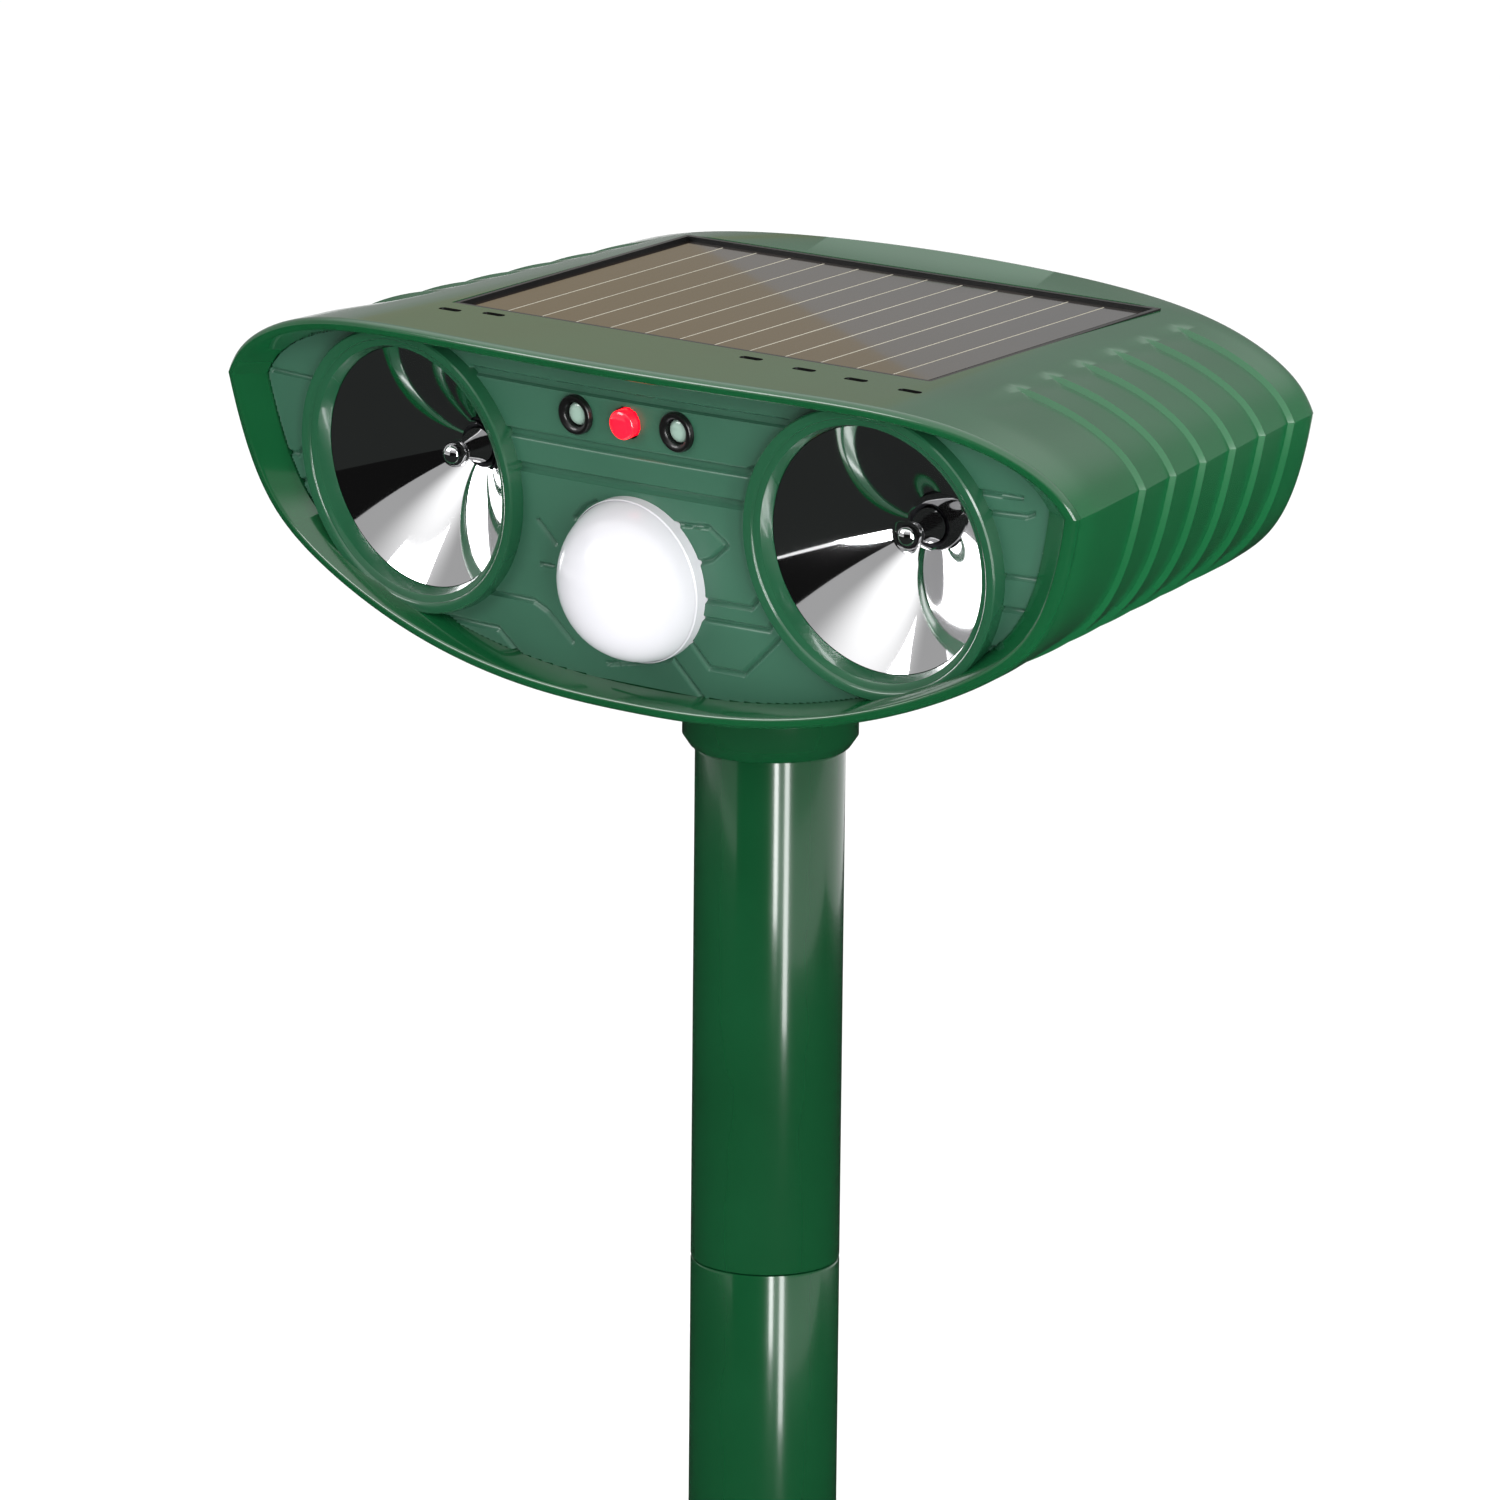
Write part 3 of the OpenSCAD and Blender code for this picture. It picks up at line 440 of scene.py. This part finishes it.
def hood_skin(side, wall, columns, deck):
    """The outer skin of one half of the hood, or with a wall its inner skin."""
    s = np.sin(np.linspace(-math.pi / 2, math.pi / 2, columns + 1))
    front_wall = WALL_FRONT if wall else 0.0
    front = front_point(s, side, front_wall, BEZEL_T)
    back = back_point(s, side, wall, wall)
    grid = []
    for kind, value in hood_rows():
        if kind == "front":
            v = value * (RIBS_FROM - front[:, 1]) / (back[:, 1] - front[:, 1])
            row = front + (back - front) * v[:, None]
        elif kind == "mark":
            v = (value - front[:, 1]) / (back[:, 1] - front[:, 1])
            sink = 0.0 if wall else rib_sink(value) * rib_fade(s * HALF_W, side)
            f = front_point(s, side, front_wall + sink, BEZEL_T)
            b = back_point(s, side, wall + sink, wall)
            row = f + (b - f) * v[:, None]
            row[:, 1] = value
        else:
            angle = value * math.pi / 2
            inset = 0.0 if wall else REAR_ROUND * (1 - math.cos(angle))
            reach = (1 - value) * INNER_STEP if wall else REAR_ROUND * (1 - math.sin(angle))
            row = back_point(s, side, wall + inset, wall + reach)
        if deck:
            flatten_deck(row, front, wall)
        grid.append(row)
    end = grid[-1].copy()
    end[:, 2] = CREASE_Z + CREASE_RISE * end[:, 1]
    grid.append(end)
    return grid


def hood_half(name, side, columns=360):
    outer = hood_skin(side, 0.0, columns, side > 0)
    inner = hood_skin(side, WALL, columns, side > 0)
    rows = len(outer)
    n = columns + 1
    points = np.concatenate(outer + inner)
    base = rows * n
    faces = []
    for r in range(rows - 1):
        for c in range(columns):
            q = (r * n + c, r * n + c + 1, (r + 1) * n + c + 1, (r + 1) * n + c)
            faces.append(q)
            faces.append(tuple(i + base for i in q[::-1]))
    rim = list(range(n))
    rim += [r * n + columns for r in range(1, rows)]
    rim += [(rows - 1) * n + c for c in range(columns - 1, -1, -1)]
    rim += [r * n for r in range(rows - 2, 0, -1)]
    for k, a in enumerate(rim):
        b = rim[(k + 1) % len(rim)]
        faces.append((a, a + base, b + base, b))
    return piece(name, points, faces, "shell", in_head, sharp=HOOD_SHARP)


# Drain notches along the front of the deck
NOTCH_AT = ((16.5, 15.5), (28.5, 14.2), (39.7, 13.4), (51.5, 12.2), (-38.7, 16.2), (-47.0, 14.8))
NOTCH_W = 4.5
NOTCH_D = 1.5
NOTCH_DEEP = 1.1


def make_roof():
    roof = hood_half("roof", 1)
    w = PANEL_W + 2 * FRAME_T
    d = PANEL_D + 2 * FRAME_T
    middle = PANEL_Y + PANEL_D / 2
    pocket = prism("pocket", [(x, y + middle) for x, y in rounded_outline(w, d, 0.3)],
                   -RECESS - PANEL_T, 6.0, "shell", on_deck)
    tools = [pocket]
    for x, y in NOTCH_AT:
        shape = [(px + x, py + y) for px, py in rounded_outline(NOTCH_W, NOTCH_D, 0.74)]
        # The notch tools carry the black lamp-ring material, which the cut passes on to the notches' walls
        # and floors as painted shade
        tools.append(prism("notch", shape, -NOTCH_DEEP, 3.0, "lamp_ring", on_deck))
    carve(roof, *tools, sharp=HOOD_SHARP)
    return hand_over(roof, "head", "shell", "top_shell")


WELL_R = 3.0
WELL_DEEP = 20.0
REAR_OPENING = (70.4, 24.4, 4.0)   # width, height and corner radius
REAR_Z = -2.0
PLATE_OUT = 86.4                   # distance back of the rear plate's outside
OPENING_AT = 86.0                  # distance back from which the opening is cut both ways
COLLAR = [(13.0, 0.0), (13.4, 0.35), (BOSS_R - 0.4, 1.6), (BOSS_R, 2.2), (BOSS_R, 9.5),
          (BOSS_R - 0.35, 9.8), (BOSS_R - 0.35, 10.4), (BOSS_R, 10.7), (BOSS_R, 18.8),
          (11.2, 18.8), (11.2, 0.0)]


def well(number, x, y, base):
    """The tool that cuts one screw's well out of the keel."""
    turn = np.linspace(0, 2 * math.pi, 40, endpoint=False)
    circle = [(WELL_R * math.cos(t), WELL_R * math.sin(t)) for t in turn]
    return prism(f"well_{number}", circle, base - WELL_DEEP, base + SCREW_HEAD_T, "shell",
                 lambda p: in_head(p + np.array([x, y, 0])))


def make_keel():
    keel = hood_half("keel", -1)
    wells = [well(k, *place) for k, place in enumerate(SCREW_AT)]
    opening = prism("opening", rounded_outline(*REAR_OPENING), -6.0, 8.0, "shell",
                    lambda p: in_head(np.stack([p[:, 0], OPENING_AT - p[:, 2], p[:, 1] + REAR_Z], 1)))
    carve(keel, opening, *wells, sharp=HOOD_SHARP)
    hand_over(keel, "head", "shell", "bottom_shell")
    boss = lathe("collar", COLLAR, "shell", lambda p: p + np.array([0, 0, SEAM_2]))
    return hand_over(boss, "head", "shell", "bottom_shell")


# ---- The front -----------------------------------------------------------------------------------------
# Once round the rim: inset of the height, depth, inset of the width, depth at the tips
BEZEL_SECTION = [(0, 1, 0, 1), (0.1, 0.6, 0.1, 0.6), (0.3, 0.3, 0.3, 0.3),
                 (0.55, 0.1, 0.55, 0.1), (0.8, 0, 0.8, 0), (1.5, 0, 1.6, 0),
                 (1.8, 0.12, 2.1, 0.12), (2, 0.4, 2.4, 0.4), (2.5, FACE_DEPTH, 7, 3.5),
                 (2.7, 8.5, 7, 6.5), (3.7, 8.5, 8.6, 6.5), (3.7, 10, 8.6, 8), (2, 10, 2.8, 8),
                 (WALL_FRONT + 0.2, BEZEL_T, WALL_FRONT + 0.3, BEZEL_T),
                 (0, BEZEL_T - 0.05, 0, BEZEL_T - 0.05)]


def face_outline_z(x, side, height_inset, width_inset):
    """Height of the front's outline at x, flat on the leaning face."""
    a = np.clip(np.abs(x) / (HALF_W - width_inset), 0, 1)
    if side > 0:
        return CREASE_Z + (ROOF_H - height_inset) * (1 - roof_drop(a, 0))
    return CREASE_Z - (KEEL_H - height_inset) * (1 - keel_rise(a))


def make_bezel(half=200):
    angle = np.linspace(-math.pi / 2, math.pi / 2, half + 1)
    loop = [(math.sin(a), 1) for a in angle] + [(math.sin(a), -1) for a in angle[-2:0:-1]]
    points = []
    for s, side in loop:
        for hz, depth, wx, tip in BEZEL_SECTION:
            a = abs(s)
            x = s * (HALF_W - wx)
            y = depth + (tip - depth) * a * a + FRONT_BOW * (x / HALF_W) ** 2
            points.append((x, y, face_outline_z(x, side, hz, wx)))
    m, n = len(BEZEL_SECTION), len(loop)
    faces = []
    for j in range(n):
        a, b = j * m, (j + 1) % n * m
        for k in range(m):
            q = (k + 1) % m
            faces.append((a + k, b + k, b + q, a + q))
    rim = piece("bezel", points, faces, "bezel", on_face, sharp=38.0)
    return hand_over(rim, "head", "bezel", "front_bezel")


# Relief of the face: lines of [x, height] on the flat face, from the middle out to the wings
WIDE = [  # channels with a flat floor
    [(-33, 19.3), (33, 19.3)],
    [(-11.5, 23.3), (13, 23.3)],
    [(-30, 10.0), (24, 10.0), (27, 11.0)],
    [(-27, 4.4), (23, 4.4), (25, 5.0)],
]
FINE = [  # narrow grooves
    [(7.5, -0.8), (15.5, -0.3), (19, -2.9), (15.5, -5.8), (12.5, -6.8)],
    [(-12.8, -2.8), (-10.5, -0.6), (-8, 0.6)],
    [(-21, -4.5), (-17.5, -8)],
    [(-21, -12), (-18.5, -12)],
    [(12, -12.9), (23, -12.9), (24.5, -11.3)],
    [(12, -16.1), (26.5, -16.1), (27, -15)],
    [(10, -20.5), (13.5, -24.4), (20.5, -24.4), (28.3, -17.3)],
    [(-8, -27), (5, -24.3), (5.8, -23.7), (12.5, -30.8)],
    [(-36, -18.7), (-23.5, -18.7), (-20.5, -20), (-15.5, -24.5)],
    [(-48, -25), (-32, -24.9), (-25, -31)],
    [(65, 13.5), (66, 12.8), (77, 12.5)],
    [(67, 10), (68.5, 9.5), (77.5, 9.6), (79, 10.2)],
    [(70, -0.7), (79.5, -0.7)],
    [(69, -6.2), (77, -6.2)],
    [(66, -13), (72.5, -13)],
    [(62, -16.3), (68, -16.3)],
    [(-81, 12), (-70, 12), (-66.5, 13.5)],
    [(-85, -2), (-76.5, -2), (-74.5, -0.5)],
    [(-84, -7), (-77, -7), (-75, -6.3)],
    [(-78.5, -17), (-73.5, -17)],
]


def line_distance(x, z, line):
    best = np.full(x.shape, 1e9)
    for (x0, z0), (x1, z1) in zip(line[:-1], line[1:]):
        dx, dz = x1 - x0, z1 - z0
        t = np.clip(((x - x0) * dx + (z - z0) * dz) / (dx * dx + dz * dz), 0, 1)
        best = np.minimum(best, np.hypot(x - x0 - t * dx, z - z0 - t * dz))
    return best


FACE_REACH = 83.0                  # half width of the grid that the face is cut from
FACE_LOW = -33.0
FACE_HIGH = 25.0
FACE_INSET = (2.4, 7.0)            # of its height and of its width
WIDE_GROOVE = (0.85, 0.35, 0.8)    # half width at the top, width of a side, depth
FINE_GROOVE = (0.55, 0.4, 0.6)
LAMP_HOLE_R = 2.6
RING_SECTION = [(HORN_R + 0.1, -LIP), (HORN_R + 0.15, -LIP + 0.4), (RING_IN, RING_LOW),
                (RING_IN + 0.5, RING_LOW + 0.25), (22.4, RING_LOW + 0.4),
                (22.6, RING_PROUD - 0.15), (22.9, RING_PROUD), (RING_R - 0.55, RING_PROUD),
                (RING_R - 0.3, RING_PROUD - 0.25), (RING_R, 0.0), (RING_R, -1.4)]


def make_face(step=0.25):
    """The face as a height field with its grooves, and a ring round each horn."""
    xs = np.arange(-FACE_REACH, FACE_REACH + step, step)
    zs = np.arange(FACE_LOW, FACE_HIGH + step, step)
    x, z = np.meshgrid(xs, zs)
    sunk = np.zeros(x.shape)
    for lines, (reach, slope, deep) in ((WIDE, WIDE_GROOVE), (FINE, FINE_GROOVE)):
        for line in lines:
            t = np.clip((reach - line_distance(x, z, line)) / slope, 0, 1)
            sunk = np.maximum(sunk, deep * t * t * (3 - 2 * t))
    y = FACE_DEPTH + FACE_BOW * (x / HALF_W) ** 2 + sunk
    inside = (z < face_outline_z(x, 1, *FACE_INSET)) & (z > face_outline_z(x, -1, *FACE_INSET))
    for hand in (-1, 1):
        inside &= np.hypot(x - hand * HORN_X, z) > RING_IN
    inside &= np.hypot(x, z - DOME_Z) > DOME_R - 1.5
    for k in (-1, 0, 1):
        inside &= np.hypot(x - k * LAMP_PITCH, z - LAMP_Z) > LAMP_HOLE_R
    index = -np.ones(x.shape, int)
    cell = inside[:-1, :-1] & inside[1:, :-1] & inside[:-1, 1:] & inside[1:, 1:]
    used = np.zeros(x.shape, bool)
    for dr in (0, 1):
        for dc in (0, 1):
            used[dr:dr + cell.shape[0], dc:dc + cell.shape[1]] |= cell
    index[used] = np.arange(used.sum())
    points = np.stack([x[used], y[used], z[used]], 1)
    r, c = np.nonzero(cell)
    faces = np.stack([index[r, c], index[r, c + 1], index[r + 1, c + 1], index[r + 1, c]], 1).tolist()
    face = piece("face", points, faces, "face", on_face, sharp=50.0)
    hand_over(face, "head", "face", "face_panel")
    for hand, side in ((-1, "left"), (1, "right")):
        ring = lathe("horn_ring_" + side, RING_SECTION, "ring", on_horn(hand))
        hand_over(ring, "head", "face", "face_panel")


CUP_WALL = 0.8
CUP_BACK = 0.6
BALL_R = 2.3
BALL_UP = 6.0        # height of the plug's ball over its foot
TIP = 0.001          # radius that closes a turned section on its axis


def bowl_radius(t):
    """Radius of the cup at a share of its depth from throat to mouth; nearly a cone."""
    return THROAT_R + (HORN_R - THROAT_R) * (0.9 * t + 0.1 * t**2)


def make_horns(steps=48):
    for hand, side in ((-1, "left"), (1, "right")):
        inside = [(bowl_radius(k / steps), -HORN_DEPTH * (1 - k / steps) - LIP) for k in range(steps + 1)]
        outside = [(r + CUP_WALL, z - CUP_BACK) for r, z in inside[-2::-1]]
        bowl = lathe("horn_" + side + "_cup", inside + outside, "horn", on_horn(hand), count=160, sharp=60.0)
        hand_over(bowl, "head", "horn", "horn_" + side)
        base = -HORN_DEPTH - LIP - CUP_BACK
        ball = []
        for k in range(25):
            a = math.pi * (0.80 - 0.80 * k / 24)
            ball.append((max(BALL_R * math.sin(a), TIP), base + BALL_UP + BALL_R * math.cos(a)))
        section = [(TIP, base), (3.4, base), (3.3, base + 0.4), (1.35, base + 4.2)] + ball
        plug = lathe("plug_" + side, section, "plug", on_horn(hand), count=64, closed=False, sharp=40.0)
        hand_over(plug, "head", "plug", "phase_plug_" + side)


def make_dome():
    sphere = (DOME_R**2 + DOME_H**2) / (2 * DOME_H)
    centre = DOME_H - sphere
    section = [(DOME_R + 0.3, DOME_BASE - FACE_DEPTH), (DOME_R + 0.3, -0.35), (DOME_R + 0.12, -0.08)]
    edge = math.asin(min(1.0, -centre / sphere))
    for k in range(41):
        a = -edge + (math.pi / 2 + edge) * k / 40
        section.append((max(sphere * math.cos(a), TIP), centre + sphere * math.sin(a)))
    dome = lathe("sensor_dome", section, "lens", on_face_at(0, DOME_BASE, DOME_Z),
                 count=160, closed=False, sharp=30.0)
    hand_over(dome, "head", "lens", "pir_lens")


LAMP_RING = [(2.1, -2.8), (2.1, 0.45), (2.35, 0.75), (2.8, 0.9), (3.15, 0.85), (3.35, 0.6),
             (3.4, 0.0), (2.95, -0.1), (2.9, -2.8)]
LAMP_FOOT = -8.6
LAMP_ROUND = 0.9     # height of a lamp's rounded end


def make_lamps():
    for k, side in ((-1, "left"), (0, "centre"), (1, "right")):
        place = on_face_at(k * LAMP_PITCH, FACE_DEPTH, LAMP_Z)
        if k:
            # The side lamps' raised holder rings are black, as painted shade of the lamp holes
            ring = lathe("lamp_ring_" + side, LAMP_RING, "lamp_ring", place, count=72)
            hand_over(ring, "head", "lamp_ring", "led_bezel_" + side)
            radius, top, look = 2.0, 0.3, "lamp_clear"
        else:
            radius, top, look = 2.5, 2.2, "lamp_red"
        shoulder = top - LAMP_ROUND
        section = [(TIP, LAMP_FOOT), (radius, LAMP_FOOT), (radius, shoulder)]
        for a in np.linspace(0.1, math.pi / 2, 14):
            section.append((max(radius * math.cos(a), TIP), shoulder + LAMP_ROUND * math.sin(a)))
        lamp = lathe("lamp_" + side, section, look, place, count=72, closed=False)
        hand_over(lamp, "head", look, "led_" + side)


# ---- Solar panel -----------------------------------------------------------------------------------------
CELL_COUNT = 13
CELL_MARGIN = 1.5    # from the panel's edge to the cells
CELL_GAP = 0.4
LINE_W = 0.34        # width of the pale line between two cells


def make_panel():
    pitch = (PANEL_W - 2 * CELL_MARGIN) / CELL_COUNT
    length = PANEL_D - 2 * CELL_MARGIN
    middle = PANEL_Y + PANEL_D / 2
    top = -RECESS
    for k in range(CELL_COUNT):
        centre = -PANEL_W / 2 + CELL_MARGIN + (k + 0.5) * pitch
        outline = rounded_outline(pitch - CELL_GAP, length, 0.2, 2)
        shape = [(x + centre, y + middle) for x, y in outline]
        cell = prism("cell_%02d" % (k + 1), shape, top - 0.2, top - 0.02, "cell", on_deck)
        hand_over(cell, "head", "cell", "solar_cells")
        if k:
            edge = centre - pitch / 2
            strip = [(x + edge, y + middle) for x, y in rounded_outline(LINE_W, length, 0.1, 2)]
            line = prism("cell_line_%02d" % k, strip, top - 0.2, top - 0.03, "cell_line", on_deck)
            hand_over(line, "head", "cell")


# ---- Pole and rear ---------------------------------------------------------------------------------------
TICK_AT = 8.3        # distance of a tick's middle from the knob's axis
# Name, x of the knob, first and last angle in degrees, number of ticks
DIALS = (("mode", -20.0, -60, 60, 3), ("level", 4.0, -140, 140, 8))


def on_rear(p):
    return in_head(np.stack([p[:, 0], PLATE_OUT + p[:, 2], p[:, 1]], 1))


def make_dial_marks():
    """Raised ticks round the two knobs on the rear plate; generic, with no lettering."""
    for name, x, first, last, count in DIALS:
        for k in range(count):
            a = math.radians(first + (last - first) * k / (count - 1))
            c, s = math.cos(a), math.sin(a)
            shape = []
            for px, py in rounded_outline(0.5, 1.5, 0.2, 3):
                out = TICK_AT + py
                shape.append((x + px * c + out * s, REAR_Z + out * c - px * s))
            tick = prism("%s_tick_%d" % (name, k + 1), shape, -0.25, 0.2, "dial", on_rear)
            hand_over(tick, "head", "shell")


def make_poles():
    for name, low, node in (("upper_tube", SEAM_1, "upper_pole"), ("lower_tube", FLANGE_T, "lower_pole")):
        high = low + POLE_SHOW
        tip = high + SPIGOT_L
        floor = low + SPIGOT_L + 1.0
        section = [(11.05, low), (12.1, low), (12.4, low + 0.15), (POLE_R, low + 0.5),
                   (POLE_R, high - 0.5), (12.4, high - 0.15), (12.1, high), (11.0, high),
                   (11.0, tip - 1.0), (10.2, tip), (9.2, tip), (9.2, floor), (11.05, floor)]
        tube = lathe(name, section, "pole", count=160, sharp=30.0)
        hand_over(tube, node, "pole", node)


# ---- Stage -------------------------------------------------------------------------------------------------
VIEW_YAW = math.radians(39.22)       # the camera stands to the right of the front
VIEW_PITCH = math.radians(13.6)
VIEW_ROLL = 0.01
VIEW_DISTANCE = 1396.95
VIEW_ACROSS = 22.94
VIEW_UP = -7.34
VIEW_ORIGIN = np.array([0.0, -POLE_BACK, 193.2])
LENS = 207.6
SKY_LOW = 0.4        # brightness of the studio near the horizon
SKY_HIGH = 1.5       # and overhead
SKY_BAND = (0.42, 0.75)              # where the sky turns from one to the other
HEAD_AT = (0, 0, 0.22)               # what most of the lights point at, in metres
FLOOR_HALF = 6.0                     # metres
FLOOR_GAP = 0.002                    # metres under the lowest point


def camera_frame():
    """Place of the camera in mm, and its right, up and forward directions."""
    look = np.array([-math.sin(VIEW_YAW) * math.cos(VIEW_PITCH),
                     math.cos(VIEW_YAW) * math.cos(VIEW_PITCH), -math.sin(VIEW_PITCH)])
    level = np.array([math.cos(VIEW_YAW), math.sin(VIEW_YAW), 0.0])
    rise = np.cross(level, look)
    right = math.cos(VIEW_ROLL) * level + math.sin(VIEW_ROLL) * rise
    up = -math.sin(VIEW_ROLL) * level + math.cos(VIEW_ROLL) * rise
    return VIEW_ORIGIN + VIEW_ACROSS * right + VIEW_UP * up - VIEW_DISTANCE * look, right, up, look


def make_camera():
    place, right, up, look = camera_frame()
    data = bpy.data.cameras.new("camera")
    data.lens = LENS
    data.sensor_width = 36.0
    data.clip_end = 20.0
    camera = bpy.data.objects.new("camera", data)
    bpy.context.scene.collection.objects.link(camera)
    camera.matrix_world = Matrix([[right[0], up[0], -look[0], place[0] * MM],
                                  [right[1], up[1], -look[1], place[1] * MM],
                                  [right[2], up[2], -look[2], place[2] * MM], [0, 0, 0, 1]])
    bpy.context.scene.camera = camera


def softbox(name, place, target, size, power):
    """A rectangular light; its place, target and size are in metres and its power in watts."""
    data = bpy.data.lights.new(name, "AREA")
    data.shape = "RECTANGLE"
    data.size, data.size_y = size
    data.energy = power
    light = bpy.data.objects.new(name, data)
    bpy.context.scene.collection.objects.link(light)
    light.location = place
    light.rotation_euler = (Vector(target) - Vector(place)).to_track_quat("-Z", "Y").to_euler()
    return light


def make_floor():
    low = cad_box[0][2] - FLOOR_GAP
    corners = [(x * FLOOR_HALF, y * FLOOR_HALF, low) for x, y in ((-1, -1), (1, -1), (1, 1), (-1, 1))]
    mesh = bpy.data.meshes.new("floor")
    mesh.from_pydata(corners, [], [(0, 1, 2, 3)])
    material = bpy.data.materials.new("floor_pale")
    material.use_nodes = True
    shader = material.node_tree.nodes["Principled BSDF"]
    shader.inputs["Base Color"].default_value = (0.93, 0.93, 0.93, 1)
    shader.inputs["Roughness"].default_value = 0.9
    mesh.materials.append(material)
    floor = bpy.data.objects.new("floor", mesh)
    bpy.context.scene.collection.objects.link(floor)


def make_sky():
    world = bpy.data.worlds.new("studio")
    world.use_nodes = True
    tree = world.node_tree
    direction = tree.nodes.new("ShaderNodeTexCoord")
    split = tree.nodes.new("ShaderNodeSeparateXYZ")
    sky = tree.nodes.new("ShaderNodeMapRange")
    sky.interpolation_type = "SMOOTHSTEP"
    sky.inputs["From Min"].default_value = SKY_BAND[0]
    sky.inputs["From Max"].default_value = SKY_BAND[1]
    sky.inputs["To Min"].default_value = SKY_LOW
    sky.inputs["To Max"].default_value = SKY_HIGH
    tree.links.new(direction.outputs["Generated"], split.inputs["Vector"])
    tree.links.new(split.outputs["Z"], sky.inputs["Value"])
    tree.links.new(sky.outputs["Result"], tree.nodes["Background"].inputs["Strength"])
    tree.nodes["Background"].inputs["Color"].default_value = (1, 1, 1, 1)
    bpy.context.scene.world = world
    bpy.context.scene.view_settings.view_transform = "Standard"


def make_stage():
    make_floor()
    make_sky()
    softbox("front", (-0.9, -1.25, 1.0), HEAD_AT, (0.9, 0.5), 10)
    softbox("side", (1.15, -1.0, 0.4), HEAD_AT, (0.16, 1.0), 9)
    softbox("pole_band", (0.75, -0.35, 0.05), (0, 0, 0.0), (0.1, 1.2), 5)
    # Cards that only shiny surfaces see, as a studio's flags and bounce boards
    card("dark_low", [(-3.0, -3.0), (1.2, -3.0), (1.2, 1.2), (-3.0, 1.2)], -0.11, (0.02, 0.022, 0.021))
    upright_card("dark_front", (-0.35, -1.8), (1.6, -1.5), -0.1, 0.7, (0.006, 0.006, 0.006))
    card_from("warm_back", warm_board(), (0.42, 0.34, 0.22))
    rib_light()


def warm_board(reach=2300.0, spread=1.6):
    """Corners, in metres, of the board that the panel mirrors in its front left half."""
    eye = camera_frame()[0]
    corners = on_deck(np.array([(-PANEL_W / 2, PANEL_Y, 0.0), (PANEL_W / 2, PANEL_Y, 0.0),
                                (-PANEL_W / 2, PANEL_Y + PANEL_D, 0.0)]))
    upward = np.array([0.0, -math.sin(math.atan(DECK_RISE)), math.cos(math.atan(DECK_RISE))])
    hits = []
    for corner in corners:
        ray = corner - eye
        ray = ray / np.linalg.norm(ray)
        bounced = ray - 2 * ray.dot(upward) * upward
        hits.append((corner + bounced * reach) * MM)
    front_left, front_right, back_left = hits
    edge = front_right - back_left
    far = front_left + spread * (front_left - (front_right + back_left) / 2)
    start, end = back_left - spread * edge, front_right + spread * edge
    return [tuple(start), tuple(end), tuple(far + spread * edge), tuple(far - spread * edge)]


def rib_light():
    """A tall light at the front right for the hood alone, which picks out the ribs' steps."""
    light = softbox("rib_light", (1.0, -0.8, 0.25), HEAD_AT, (0.12, 1.2), 34)
    hood = bpy.data.collections.new("hood")
    for name in ("roof", "keel"):
        hood.objects.link(bpy.data.objects[name])
    light.light_linking.receiver_collection = hood


def card_from(name, corners, colour):
    """A board that is seen only in reflections."""
    mesh = bpy.data.meshes.new(name)
    mesh.from_pydata(corners, [], [(0, 1, 2, 3)])
    material = bpy.data.materials.new(name)
    material.use_nodes = True
    tree = material.node_tree
    tree.nodes.clear()
    glow = tree.nodes.new("ShaderNodeEmission")
    glow.inputs["Color"].default_value = (*colour, 1)
    out = tree.nodes.new("ShaderNodeOutputMaterial")
    tree.links.new(glow.outputs["Emission"], out.inputs["Surface"])
    mesh.materials.append(material)
    board = bpy.data.objects.new(name, mesh)
    bpy.context.scene.collection.objects.link(board)
    board.visible_camera = False
    board.visible_diffuse = False
    board.visible_shadow = False
    board.visible_transmission = False


def card(name, corners, height, colour):
    card_from(name, [(x, y, height) for x, y in corners], colour)


def upright_card(name, start, end, low, high, colour):
    corners = [(*start, low), (*end, low), (*end, high), (*start, high)]
    card_from(name, corners, colour)


dress_cad_nodes()
make_roof()
make_keel()
make_bezel()
make_face()
make_horns()
make_dome()
make_lamps()
make_panel()
make_poles()
make_dial_marks()
make_camera()
make_stage()
